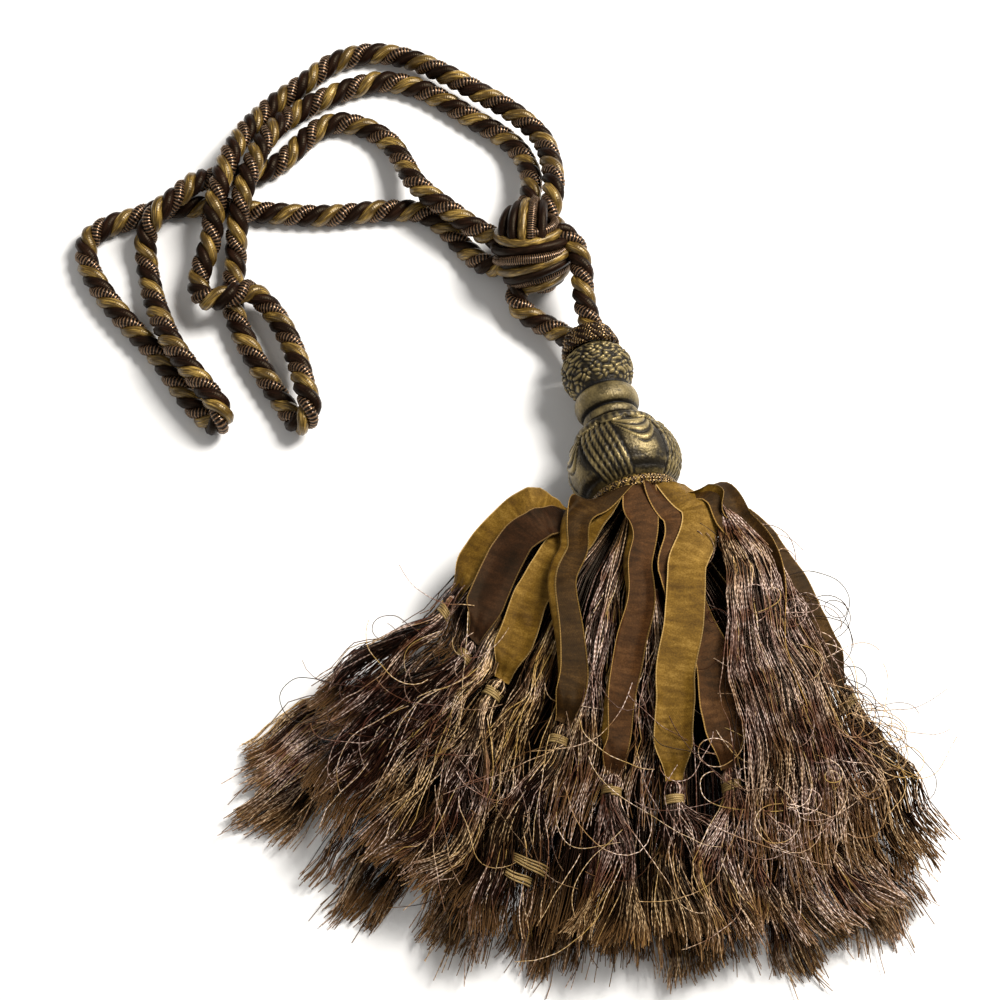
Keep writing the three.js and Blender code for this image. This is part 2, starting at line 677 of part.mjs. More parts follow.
const knotRoom = solidOf(woundKnot(CLEARANCE));
const cordRoom = solidOf(topCord(CLEARANCE));
tieback.add(named("rope_loop_upper", trimmed(twistedRope(UPPER_LOOP), [knotRoom]), "rope"));
tieback.add(named("rope_loop_lower", trimmed(twistedRope(LOWER_LOOP), [knotRoom]), "rope"));
tieback.add(named("rope_neck_right", trimmed(twistedRope(NECK_RIGHT), [knotRoom, cordRoom]), "rope"));
tieback.add(named("rope_neck_left", trimmed(twistedRope(NECK_LEFT), [knotRoom, cordRoom]), "rope"));
tieback.add(named("wound_knot", woundKnot(0), "rope"));
tieback.add(named("tassel_head", carvedHead(), "head"));
tieback.add(named("top_cord", topCord(0), "cord"));
tieback.add(named("base_cord", baseCord(), "cord"));
tieback.add(named("thread_skirt", threadSkirt(), "thread"));

[UPPER_RIBBONS, LOWER_RIBBONS].forEach((rows, layer) => {
  const upper = layer === 0;
  const place = upper ? "upper" : "lower";
  rows.forEach((row, index) => {
    const number = String(index + 1).padStart(2, "0");
    tieback.add(named(`ribbon_${place}_${number}`, ribbon(rows, index, upper), row.tone));
    tieback.add(named(`tassel_${place}_${number}`, smallTassel(row, upper, layer * 20 + index), "thread"));
  });
});

export default tieback;
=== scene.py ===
"""Looks of a rope curtain tieback: rope loops, wound knot, carved head, ribbons and thread fringe.

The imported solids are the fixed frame. Finer pieces stand in the same places, in metres, with the
table top at Z = 0 and the origin under the middle of the tieback.
"""

import logging
import math
from dataclasses import dataclass, field
from enum import Enum
from typing import Any, Sequence

import bpy
import numpy as np
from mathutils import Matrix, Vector

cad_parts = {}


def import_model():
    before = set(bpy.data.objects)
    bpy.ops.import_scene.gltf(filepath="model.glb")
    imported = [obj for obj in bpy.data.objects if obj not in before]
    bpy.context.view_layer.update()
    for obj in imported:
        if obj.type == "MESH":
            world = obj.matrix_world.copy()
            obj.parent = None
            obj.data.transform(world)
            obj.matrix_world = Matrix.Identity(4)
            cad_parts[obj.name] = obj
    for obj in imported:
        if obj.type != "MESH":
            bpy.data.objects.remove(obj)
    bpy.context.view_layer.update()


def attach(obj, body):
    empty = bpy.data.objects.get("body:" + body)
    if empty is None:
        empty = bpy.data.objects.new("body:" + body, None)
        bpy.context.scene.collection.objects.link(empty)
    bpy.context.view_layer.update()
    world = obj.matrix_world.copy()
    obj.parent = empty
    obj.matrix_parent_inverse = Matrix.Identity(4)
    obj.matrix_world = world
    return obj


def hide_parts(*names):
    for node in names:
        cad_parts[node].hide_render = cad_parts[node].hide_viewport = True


log = logging.getLogger("tieback")

Array = np.ndarray
Colour = tuple[float, float, float]
Piece = bpy.types.Object
Mesh = bpy.types.Mesh
Material = bpy.types.Material
Output = bpy.types.NodeSocket

MM = 0.001
TURN = 2.0 * math.pi
BODY = "root"
ORIGIN_SHIFT = np.array([3.7, -4.7, 0.0])
UP = np.array([0.0, 0.0, 1.0])
SPAN_POINTS = 24

# Middle lines of the rope in millimetres: x, y, height
UPPER_LOOP = (
    (27.5, 115, 26), (34, 142, 31.5), (33.5, 165, 25.5), (28, 188, 18), (14, 205, 15.5),
    (-4, 219, 14), (-22, 231.8, 12.8), (-42, 244.8, 9.2), (-63, 251, 6.4), (-83, 245, 6.3),
    (-99, 231, 6.3), (-115, 216, 7), (-127, 195, 14), (-133.5, 175, 21), (-137.5, 157, 23),
    (-140, 141, 21), (-141.4, 125, 16.5), (-147, 101, 11.5), (-141, 89.5, 16), (-130, 89, 19.8),
    (-120, 95, 15), (-111, 89, 10), (-102, 75, 10), (-95, 58, 13), (-89, 37, 18.5),
    (-86.4, 28, 17.5), (-88.4, 22.3, 12.8), (-93, 22.8, 8.2), (-97.5, 29.5, 6.5), (-121, 69, 6.3),
    (-130, 94, 6.3), (-129.5, 118, 6.5), (-128.6, 135, 14.4), (-126, 152, 19.5), (-121, 173, 19.5),
    (-113.6, 194, 14.5), (-104, 209, 7.5), (-86, 222, 6.3), (-58, 232, 6.3), (-36, 227, 6.3),
    (-10, 209.5, 6.3), (14, 189, 8.5), (23, 164, 17), (22, 142, 24.5), (20.5, 116, 25),
)
LOWER_LOOP = (
    (15, 110, 18), (1, 112, 12), (-10, 124, 6.7), (-21, 138, 6.3), (-34, 148, 6.3), (-53, 149, 6.3),
    (-85, 146, 6.3), (-116, 148, 6.3), (-150, 151.5, 6.3), (-170, 150, 6.3), (-185, 144, 6.3),
    (-198, 139, 6.3), (-207, 130, 6.3), (-206, 117, 6.3), (-197, 100, 6.3), (-184, 83, 6.3),
    (-166, 63, 6.3), (-148, 37, 6.3), (-138, 26, 6.3), (-133.4, 22.4, 8), (-130, 22.3, 12.6),
    (-130.3, 26.2, 17.3), (-134.5, 32, 19), (-155, 60, 18.3), (-164, 79, 13.5), (-171.5, 100, 7),
    (-175.5, 118, 6.6), (-176, 129.5, 11), (-170, 139, 19), (-160, 149, 19.6), (-152, 159, 17.5),
    (-143, 167, 10), (-132, 171, 6.3), (-120, 173, 6.3), (-110, 179, 6.3), (-90, 201, 6.3),
    (-79, 205, 6.3), (-66, 202, 6.3), (-52, 191, 8), (-43, 173, 13), (-36, 157, 18.6),
    (-15, 137.5, 18.9), (-2, 127.5, 19), (15, 117, 22),
)
NECK_RIGHT = (
    (25, 116, 26), (37, 118, 33), (44, 112, 32), (47.5, 102, 29.5), (48.5, 88, 28), (50, 76, 27),
    (54.9, 60.9, 26),
)
NECK_LEFT = (
    (20, 107, 17), (15.5, 91, 11.5), (23, 82, 10.5), (34, 74, 12), (42, 67, 14.8), (47.6, 59.5, 16.6),
)


class Ply(Enum):
    """Kinds of ply in the rope, by the number that its lines carry."""

    GOLD = 0
    BROWN = 1
    GIMP = 2


class Tone(Enum):
    """Ribbon colours: the record's slots, and umber, a darker brown that paints shade on the face of a ribbon
    on the fan's shaded left side.
    """

    GOLD = "ribbon_gold"
    BROWN = "ribbon_brown"
    BRONZE = "ribbon_bronze"
    SHADED_BROWN = "ribbon_umber"


# Plies that rise over the knot's top into the upper loop, from the knot's middle in millimetres
KNOT_CROWN = (
    (Ply.BROWN, (
        (-12.5, -2.5, 9.5), (-14.4, 2, 12.5), (-14, 9, 14.5), (-11.5, 16, 13), (-9, 21, 6), (-8, 21, -3),
    )),
    (Ply.BROWN, (
        (-8.8, -4.5, 12.8), (-10, 0, 17.4), (-9.5, 8, 19.5), (-7.5, 16.5, 16.5), (-5, 22, 9), (-4, 22.5, -2),
    )),
    (Ply.GOLD, (
        (-4.5, -5, 14.6), (-5, -0.5, 19.4), (-4.5, 7, 21.5), (-3.5, 16, 19), (-1.5, 22.5, 11),
        (-0.5, 23.5, 0),
    )),
    (Ply.GIMP, (
        (-0.4, -5.5, 15), (-0.5, -1, 20), (0, 7, 22.5), (0.8, 16, 20), (2.2, 23, 12), (3, 24, 2),
    )),
    (Ply.BROWN, (
        (4.6, -5.5, 14.5), (5, -1, 19.4), (5.2, 7, 21.5), (5.5, 15, 19), (6.5, 22, 11), (7, 23, 2),
    )),
)


def unit(vectors: Array) -> Array:
    """Scales vectors to length one."""
    return vectors / np.linalg.norm(vectors, axis=-1, keepdims=True)


def ease(value: Array | float, low: float, high: float) -> Array:
    """Smooth step from 0 at low to 1 at high."""
    share = np.clip((np.asarray(value, float) - low) / (high - low), 0.0, 1.0)
    return share * share * (3.0 - 2.0 * share)


def blend(first: Any, second: Any, share: Any) -> Any:
    """Straight mix of two values."""
    return first + (second - first) * share


def to_metres(points: Array) -> Array:
    """Moves millimetre points to the part's origin, in metres."""
    return (np.asarray(points, float) + ORIGIN_SHIFT) * MM


def even_steps(line: Array, step: float) -> Array:
    """Divides a line into equal steps.

    Args:
        line: Points of the line.
        step: Wanted step, in the line's own unit.

    Returns:
        Points an equal distance apart.
    """
    run = np.concatenate([[0.0], np.cumsum(np.linalg.norm(np.diff(line, axis=0), axis=1))])
    marks = np.linspace(0.0, run[-1], max(2, round(run[-1] / step) + 1))
    return np.stack([np.interp(marks, run, line[:, axis]) for axis in range(3)], axis=1)


def hermite(share: Array, start: Any, leave: Any, end: Any, arrive: Any) -> Array:
    """Runs a curve between two values at given slopes.

    Args:
        share: Share of the way.
        start: Value at the start.
        leave: Slope at the start, over the whole way.
        end: Value at the end.
        arrive: Slope at the end, over the whole way.

    Returns:
        Value at each share.
    """
    return (
        (2 * share**3 - 3 * share**2 + 1) * start
        + (share**3 - 2 * share**2 + share) * leave
        + (3 * share**2 - 2 * share**3) * end
        + (share**3 - share**2) * arrive
    )


def smooth_route(corners: Sequence[Sequence[float]], step: float) -> Array:
    """Runs a smooth curve through given points.

    Args:
        corners: Points that the curve passes, in millimetres.
        step: Distance between the points returned, in millimetres.

    Returns:
        Points of a centripetal curve, an equal distance apart.
    """
    knots = np.array(corners, float)
    knots = np.vstack([2 * knots[0] - knots[1], knots, 2 * knots[-1] - knots[-2]])
    share = np.linspace(0.0, 1.0, SPAN_POINTS, endpoint=False)[:, None]
    spans = []
    for before, start, end, after in zip(knots, knots[1:], knots[2:], knots[3:]):
        lead, span, trail = (
            np.linalg.norm(b - a) ** 0.5 for a, b in ((before, start), (start, end), (end, after))
        )
        leave = (start - before) / lead - (end - before) / (lead + span) + (end - start) / span
        arrive = (end - start) / span - (after - start) / (span + trail) + (after - end) / trail
        spans.append(hermite(share, start, leave * span, end, arrive * span))
    spans.append(knots[-2:-1])
    return even_steps(np.vstack(spans), step)


def smooth_profile(table: Sequence[tuple[float, float]], places: Array) -> Array:
    """Smooth curve through a table that never overshoots its rows.

    Args:
        table: Rows of place and value.
        places: Places to read.

    Returns:
        Value at each place.
    """
    at, value = np.array(table, float).T
    slope = np.diff(value) / np.diff(at)
    before, after = slope[:-1], slope[1:]
    mean = 2 * before * after / (before + after + 1e-9)
    inner = np.where(before * after > 0, mean, 0)
    steep = np.concatenate([slope[:1], inner, slope[-1:]])
    row = np.clip(np.searchsorted(at, places) - 1, 0, len(at) - 2)
    width = at[row + 1] - at[row]
    share = np.clip((places - at[row]) / width, 0, 1)
    return hermite(share, value[row], steep[row] * width, value[row + 1], steep[row + 1] * width)


@dataclass
class Line:
    """One line that a tree sweeps into a ply or a thread.

    Attributes:
        points: Points in metres.
        marks: Named numbers along the line, one for each point or one for all.
    """

    points: Array
    marks: dict[str, Any]


def ply_line(points: Array, ply: Ply, phase: float = 0.0, size: float = 1.0) -> Line:
    """Makes the line of one ply from points in millimetres."""
    return Line(to_metres(points), {"phase": phase, "kind": ply.value, "size": size})


def add_object(name: str, mesh: Mesh) -> Piece:
    """Links a new mesh object at the origin.

    Args:
        name: Name of the piece.
        mesh: Its mesh.

    Returns:
        The piece.
    """
    piece = bpy.data.objects.new(name, mesh)
    bpy.context.scene.collection.objects.link(piece)
    return piece


def line_object(name: str, lines: Sequence[Line]) -> Piece:
    """Makes an object of bare edges from lines.

    Args:
        name: Name of the piece.
        lines: Lines with the same marks.

    Returns:
        The object, with its marks as point attributes.
    """
    sizes = [len(line.points) for line in lines]
    starts = np.concatenate([[0], np.cumsum(sizes)])
    edges = np.vstack([
        np.stack([np.arange(a, b - 1), np.arange(a + 1, b)], axis=1)
        for a, b in zip(starts, starts[1:])
    ])
    mesh = bpy.data.meshes.new(name)
    mesh.from_pydata(np.vstack([line.points for line in lines]), edges, [])
    for mark in lines[0].marks:
        values = np.concatenate([
            np.broadcast_to(np.asarray(line.marks[mark], float), (size,)) for line, size in zip(lines, sizes)
        ])
        mesh.attributes.new(mark, "FLOAT", "POINT").data.foreach_set("value", values.astype(np.float32))
    return add_object(name, mesh)


def rest_on_table(mesh: Mesh) -> None:
    """Lifts points that dip under the table top up to it.

    Args:
        mesh: Mesh in metres.
    """
    places = np.empty(3 * len(mesh.vertices), np.float32)
    mesh.vertices.foreach_get("co", places)
    places[2::3] = np.maximum(places[2::3], 0.0)
    mesh.vertices.foreach_set("co", places)


def surface(
    name: str, points: Array, faces: Sequence[Sequence[int]], marks: dict[str, Array], *materials: Material
) -> Piece:
    """Makes a smooth-shaded piece with named point values.

    Args:
        name: Name of the piece.
        points: Points in millimetres.
        faces: Point numbers of each face.
        marks: Point attributes.
        *materials: Its materials.

    Returns:
        The piece.
    """
    mesh = bpy.data.meshes.new(name)
    mesh.from_pydata(to_metres(points), [], faces)
    for mark, values in marks.items():
        data = np.asarray(values, np.float32)
        mesh.attributes.new(mark, "FLOAT", "POINT").data.foreach_set("value", data)
    rest_on_table(mesh)
    mesh.shade_smooth()
    for material in materials:
        mesh.materials.append(material)
    return add_object(name, mesh)


def ring_faces(rings: int, sides: int) -> list[tuple[int, ...]]:
    """Faces of a closed skin over rings of points, with a fan's middle point added for each end.

    Args:
        rings: Number of rings.
        sides: Points in each ring.

    Returns:
        Faces; the two middle points come after the last ring.
    """
    faces: list[tuple[int, ...]] = []
    for ring in range(rings - 1):
        for side in range(sides):
            a = ring * sides + side
            b = ring * sides + (side + 1) % sides
            faces.append((a, b, b + sides, a + sides))
    near = rings * sides
    last = near - sides
    for side in range(sides):
        following = (side + 1) % sides
        faces.append((near, following, side))
        faces.append((near + 1, last + side, last + following))
    return faces


class NodeMaker:
    """Short calls that add and join the nodes of one tree."""

    def __init__(self, tree: bpy.types.NodeTree) -> None:
        """Keeps the tree that nodes are added to."""
        self.tree = tree

    def feed(self, socket: Output, value: Any) -> None:
        """Links a socket to another, or sets its value.

        Args:
            socket: Input to feed.
            value: Source socket, or a plain value.
        """
        if isinstance(value, Output):
            self.tree.links.new(value, socket)
        else:
            socket.default_value = value

    def add(self, kind: str, feeds: dict[Any, Any] | None = None, **settings: Any) -> bpy.types.Node:
        """Adds a node.

        Args:
            kind: Node type.
            feeds: Input name or number, and its value or source socket.
            **settings: Node properties.

        Returns:
            The node.
        """
        node = self.tree.nodes.new(kind)
        for name, value in settings.items():
            setattr(node, name, value)
        for key, value in (feeds or {}).items():
            self.feed(node.inputs[key], value)
        return node

    def math(self, operation: str, first: Any, second: Any = 0.0) -> Output:
        """Adds one sum of two numbers."""
        return self.add("ShaderNodeMath", {0: first, 1: second}, operation=operation).outputs[0]

    def vector(self, operation: str, first: Any, second: Any = (0.0, 0.0, 0.0)) -> Output:
        """Adds one sum of two vectors."""
        return self.add("ShaderNodeVectorMath", {0: first, 1: second}, operation=operation).outputs[0]

    def scaled(self, vector: Any, scale: Any) -> Output:
        """Scales a vector."""
        feeds = {0: vector, "Scale": scale}
        return self.add("ShaderNodeVectorMath", feeds, operation="SCALE").outputs[0]

    def joined(self, x: Any, y: Any, z: Any) -> Output:
        """Makes a vector of three numbers."""
        return self.add("ShaderNodeCombineXYZ", {0: x, 1: y, 2: z}).outputs[0]

    def noise(self, vector: Any, scale: float, detail: float = 2.0) -> Output:
        """Adds a noise texture and gives its number."""
        feeds = {"Vector": vector, "Scale": scale, "Detail": detail}
        return self.add("ShaderNodeTexNoise", feeds).outputs[0]


class Socket(Enum):
    """Kinds of input that a sweeping tree takes."""

    NUMBER = "NodeSocketFloat"
    COUNT = "NodeSocketInt"
    PAINT = "NodeSocketMaterial"


class SweepTree(NodeMaker):
    """Base of the trees that sweep bare edges into tubes."""

    def __init__(self, name: str, inputs: dict[str, Socket]) -> None:
        """Makes the tree with its named inputs.

        Args:
            name: Name of the tree.
            inputs: Inputs after the geometry.
        """
        tree = bpy.data.node_groups.new(name, "GeometryNodeTree")
        face = tree.interface
        face.new_socket("Geometry", in_out="INPUT", socket_type="NodeSocketGeometry")
        face.new_socket("Geometry", in_out="OUTPUT", socket_type="NodeSocketGeometry")
        for title, kind in inputs.items():
            face.new_socket(title, in_out="INPUT", socket_type=kind.value)
        super().__init__(tree)
        self.given = self.add("NodeGroupInput").outputs
        self.build()

    def build(self) -> None:
        """Adds the tree's nodes."""
        raise NotImplementedError

    def mark(self, name: str) -> Output:
        """Reads a named number of the points."""
        return self.add("GeometryNodeInputNamedAttribute", {"Name": name}, data_type="FLOAT").outputs[0]

    def store(self, geometry: Any, name: str, value: Any, kind: str = "FLOAT") -> Output:
        """Writes a named value to the points."""
        feeds = {"Geometry": geometry, "Name": name, "Value": value}
        return self.add("GeometryNodeStoreNamedAttribute", feeds, data_type=kind, domain="POINT").outputs[0]

    def curves(self) -> Output:
        """Turns the bare edges into curves that keep their run as along."""
        curve = self.add("GeometryNodeMeshToCurve", {"Mesh": self.given["Geometry"]}).outputs[0]
        return self.store(curve, "along", self.add("GeometryNodeSplineParameter").outputs["Length"])

    def profile(self, sides: Any) -> Output:
        """Adds the tube's round section, with each point's place on it kept as skin.

        Args:
            sides: Sides of the section.

        Returns:
            The section.
        """
        circle = self.add("GeometryNodeCurvePrimitiveCircle", {"Resolution": sides, "Radius": 1.0})
        place = self.add("GeometryNodeInputPosition").outputs[0]
        return self.store(circle.outputs[0], "skin", place, "FLOAT_VECTOR")

    def finish(self, mesh: Any, materials: Sequence[tuple[Any, Any]]) -> None:
        """Ends the tree.

        Args:
            mesh: Swept mesh.
            materials: Material and selection for each Set Material node.
        """
        smooth = self.add("GeometryNodeSetShadeSmooth", {"Geometry": mesh})
        real = self.add("GeometryNodeRealizeInstances", {"Geometry": smooth.outputs[0]}).outputs[0]
        for material, chosen in materials:
            real = self.add(
                "GeometryNodeSetMaterial", {"Geometry": real, "Selection": chosen, "Material": material}
            ).outputs[0]
        self.add("NodeGroupOutput", {0: real})

    def sweep(self, piece: Piece, values: dict[str, Any]) -> Piece:
        """Runs the tree on bare edges and keeps the result as a plain mesh.

        Args:
            piece: Object of bare edges.
            values: Value of each named input.

        Returns:
            The same object with its swept mesh.
        """
        modifier = piece.modifiers.new(self.tree.name, "NODES")
        modifier.node_group = self.tree
        for socket in self.tree.interface.items_tree:
            if socket.in_out == "INPUT" and socket.name in values:
                modifier[socket.identifier] = values[socket.name]
        depsgraph = bpy.context.evaluated_depsgraph_get()
        mesh = bpy.data.meshes.new_from_object(
            piece.evaluated_get(depsgraph), preserve_all_data_layers=True, depsgraph=depsgraph
        )
        piece.modifiers.remove(modifier)
        bare = piece.data
        piece.data = mesh
        bpy.data.meshes.remove(bare)
        rest_on_table(mesh)
        mesh.name = piece.name
        return piece


class PlyTree(SweepTree):
    """Lays plies round their routes and sweeps them, the gimp with its wrapped ridges.

    Each line carries a phase, the ply's start round the rope, and a kind, the number of its Ply.
    """

    def __init__(self) -> None:
        """Names the tree's inputs."""
        numbers = ("Lay", "Offset", "Radius", "Ridge Pitch", "Ridge Depth")
        sizes = dict.fromkeys(numbers, Socket.NUMBER) | {"Sides": Socket.COUNT}
        super().__init__("laid_plies", sizes | dict.fromkeys(("Gold", "Brown", "Gimp"), Socket.PAINT))

    def build(self) -> None:
        """Adds the helix, the ridges and the sweep."""
        given, curve = self.given, self.curves()
        along, kind = self.mark("along"), self.mark("kind")
        turn = self.math("DIVIDE", self.math("MULTIPLY", along, TURN), given["Lay"])
        angle = self.math("ADD", turn, self.mark("phase"))
        normal = self.add("GeometryNodeInputNormal").outputs[0]
        side = self.vector("CROSS_PRODUCT", self.add("GeometryNodeInputTangent").outputs[0], normal)
        out = self.vector(
            "ADD",
            self.scaled(normal, self.math("COSINE", angle)),
            self.scaled(side, self.math("SINE", angle)),
        )
        moved = self.add(
            "GeometryNodeSetPosition", {"Geometry": curve, "Offset": self.scaled(out, given["Offset"])}
        ).outputs[0]
        is_gimp = self.math("GREATER_THAN", kind, Ply.GIMP.value - 0.5)
        place = self.math("DIVIDE", self.math("MULTIPLY", along, math.pi), given["Ridge Pitch"])
        groove = self.math("SUBTRACT", 1.0, self.math("ABSOLUTE", self.math("SINE", place)))
        sunk = self.math("MULTIPLY", self.math("MULTIPLY", groove, given["Ridge Depth"]), is_gimp)
        scale = self.math("MULTIPLY", self.math("SUBTRACT", 1.0, sunk), given["Radius"])
        scale = self.math("MULTIPLY", scale, self.mark("size"))
        tube = self.add("GeometryNodeCurveToMesh", {
            "Curve": moved, "Profile Curve": self.profile(given["Sides"]), "Scale": scale, "Fill Caps": True,
        }).outputs[0]
        is_gold = self.math("LESS_THAN", kind, Ply.GOLD.value + 0.5)
        self.finish(tube, [(given["Brown"], True), (given["Gold"], is_gold), (given["Gimp"], is_gimp)])


class ThreadTree(SweepTree):
    """Sways and crimps thread lines and sweeps them into thin three-sided threads.

    Each line carries a tone, its free share from root to tip, and a size for its thickness.

    Attributes:
        seed_spread: How far a thread's tone shifts its crimp from its neighbours'.
        level: Share of the wander that goes to each side and upwards.
        sides: Sides of a thread's section.
    """

    seed_spread: float = 60.0
    level: tuple[float, float, float] = (1.0, 1.0, 0.36)
    sides: int = 3

    def __init__(self) -> None:
        """Names the tree's inputs."""
        numbers = ("Radius", "Crimp", "Crimp Size", "Sway", "Sway Size", "Seed")
        super().__init__("crimped_threads", dict.fromkeys(numbers, Socket.NUMBER) | {"Yarn": Socket.PAINT})

    def wander(self, place: Any, seed: Any, size: Any, depth: Any) -> Output:
        """Adds a smooth sideways wander.

        Args:
            place: Place of the points.
            seed: Number that tells one wander from another.
            size: Length of its waves.
            depth: How far it goes.

        Returns:
            The offset.
        """
        feeds = {"Vector": place, "W": seed, "Scale": self.math("DIVIDE", 1.0, size), "Detail": 1.0}
        wave = self.add("ShaderNodeTexNoise", feeds, noise_dimensions="4D").outputs["Color"]
        return self.scaled(self.vector("SUBTRACT", wave, (0.5, 0.5, 0.5)), depth)

    def build(self) -> None:
        """Adds the crimp, the table's stop and the sweep."""
        given, curve = self.given, self.curves()
        tone = self.mark("tone")
        place = self.add("GeometryNodeInputPosition").outputs[0]
        free = self.mark("free")
        own = self.math("ADD", self.math("MULTIPLY", tone, self.seed_spread), given["Seed"])
        crimp = self.wander(place, own, given["Crimp Size"], self.math("MULTIPLY", given["Crimp"], free))
        shared = self.math("MULTIPLY", given["Sway"], self.math("MULTIPLY", free, free))
        sway = self.vector("ADD", crimp, self.wander(place, given["Seed"], given["Sway Size"], shared))
        sway = self.vector("MULTIPLY", sway, self.level)
        crimped = self.add("ShaderNodeSeparateXYZ", {0: self.vector("ADD", place, sway)}).outputs
        above = self.math("MAXIMUM", crimped[2], given["Radius"])
        moved = self.add("GeometryNodeSetPosition", {
            "Geometry": curve, "Position": self.joined(crimped[0], crimped[1], above),
        }).outputs[0]
        thick = self.math("MULTIPLY", given["Radius"], self.mark("size"))
        tube = self.add("GeometryNodeCurveToMesh", {
            "Curve": moved, "Profile Curve": self.profile(self.sides), "Scale": thick, "Fill Caps": True,
        }).outputs[0]
        self.finish(tube, [(given["Yarn"], True)])


class Paint(NodeMaker):
    """A material under construction, with the calls that its finish needs."""

    def __init__(self, name: str) -> None:
        """Makes a material with one principled shader.

        Args:
            name: Name of the material.
        """
        self.material = bpy.data.materials.new(name)
        self.material.use_nodes = True
        super().__init__(self.material.node_tree)
        self.shader = self.tree.nodes["Principled BSDF"]

    def set(self, **values: Any) -> None:
        """Feeds the shader's inputs; an underscore stands for a space."""
        for name, value in values.items():
            self.feed(self.shader.inputs[name.replace("_", " ")], value)

    def number(self, name: str) -> Output:
        """Reads a named number of the piece."""
        return self.add("ShaderNodeAttribute", attribute_name=name).outputs["Fac"]

    def arrow(self, name: str) -> Output:
        """Reads a named vector of the piece."""
        return self.add("ShaderNodeAttribute", attribute_name=name).outputs["Vector"]

    def place(self) -> Output:
        """Reads the place on the piece."""
        return self.add("ShaderNodeTexCoord").outputs["Object"]

    def ramp(self, factor: Any, stops: Sequence[tuple[float, Colour]]) -> Output:
        """Turns a number into a colour.

        Args:
            factor: Number from 0 to 1.
            stops: Places and their colours.

        Returns:
            The colour.
        """
        node = self.add("ShaderNodeValToRGB", {0: factor})
        bar = node.color_ramp.elements
        while len(bar) < len(stops):
            bar.new(0.5)
        for mark, (place, colour) in zip(bar, stops):
            mark.position = place
            mark.color = (*colour, 1.0)
        return node.outputs[0]

    def mixed(self, factor: Any, first: Any, second: Any) -> Output:
        """Mixes two colours.

        Args:
            factor: Share of the second.
            first: Colour at 0.
            second: Colour at 1.

        Returns:
            The colour.
        """
        node = self.add("ShaderNodeMix", data_type="RGBA")
        for key, value in ((0, factor), (6, first), (7, second)):
            self.feed(node.inputs[key], (*value, 1.0) if isinstance(value, tuple) else value)
        return node.outputs[2]

    def spread(self, value: Any, low: float, high: float, to_low: float, to_high: float) -> Output:
        """Maps a range of numbers to another."""
        feeds = {0: value, 1: low, 2: high, 3: to_low, 4: to_high}
        return self.add("ShaderNodeMapRange", feeds).outputs[0]

    def wave(self, value: Any, length: float) -> Output:
        """Makes a wave from -1 to 1 over a number."""
        return self.math("SINE", self.math("MULTIPLY", value, TURN / length))

    def swing(self, noise: Any, depth: float) -> Output:
        """Centres a noise on zero and sets how deep it goes."""
        return self.math("MULTIPLY", self.math("SUBTRACT", noise, 0.5), depth)

    def weighed(self, *parts: tuple[Any, float]) -> Output:
        """Adds up numbers, each times its weight.

        Args:
            *parts: Each number and its weight.

        Returns:
            The sum.
        """
        first, *others = (self.math("MULTIPLY", value, weight) for value, weight in parts)
        for other in others:
            first = self.math("ADD", first, other)
        return first

    def bump(self, height: Any, depth: float, strength: float) -> None:
        """Raises the surface by a height, in metres at full strength."""
        feeds = {"Height": height, "Distance": depth, "Strength": strength}
        self.set(Normal=self.add("ShaderNodeBump", feeds).outputs[0])


@dataclass(frozen=True)
class Finish:
    """A finish of the tieback, with the name of its material."""

    name: str

    def material(self) -> Material:
        """Builds the finish.

        Returns:
            The material.
        """
        paint = Paint(self.name)
        self.lay_on(paint)
        return paint.material

    def lay_on(self, paint: Paint) -> None:
        """Adds the finish's colour, gloss and relief."""
        raise NotImplementedError


@dataclass(frozen=True)
class SatinFinish(Finish):
    """Satin yarn of a smooth ply: fine filaments along it, wound fine thread across it."""

    shade: Colour
    body: Colour
    gleam: Colour
    gloss: float = 0.5
    roughness: float = 0.36
    filament_draw: float = 160.0
    patch_scale: float = 90.0
    wound_pitch: float = 0.7 * MM

    def lay_on(self, paint: Paint) -> None:
        """Adds the filaments, the painted sheen on the brightest of them, the patches of wear and the wound
        thread.

        Args:
            paint: Material that the finish goes on.
        """
        along, skin = paint.number("along"), paint.arrow("skin")
        run = paint.joined(0.0, 0.0, paint.math("MULTIPLY", along, self.filament_draw))
        filament = paint.noise(paint.vector("ADD", paint.scaled(skin, 5.0), run), 1.6, 4.0)
        tone = paint.weighed((filament, 0.7), (paint.noise(paint.place(), self.patch_scale), 0.3))
        # Painted sheen: the brightest filaments take the gleam colour.
        stops = [(0.32, self.shade), (0.52, self.body), (0.7, self.gleam)]
        rough = paint.spread(filament, 0.3, 0.7, self.roughness + 0.1, self.roughness - 0.08)
        paint.set(Base_Color=paint.ramp(tone, stops), Roughness=rough)
        paint.set(Specular_IOR_Level=self.gloss, Specular_Tint=(1.0, 0.82, 0.55, 1.0))
        wound = paint.math("MULTIPLY", paint.wave(along, self.wound_pitch), 0.25)
        paint.bump(paint.math("ADD", wound, filament), 0.12 * MM, 0.8)


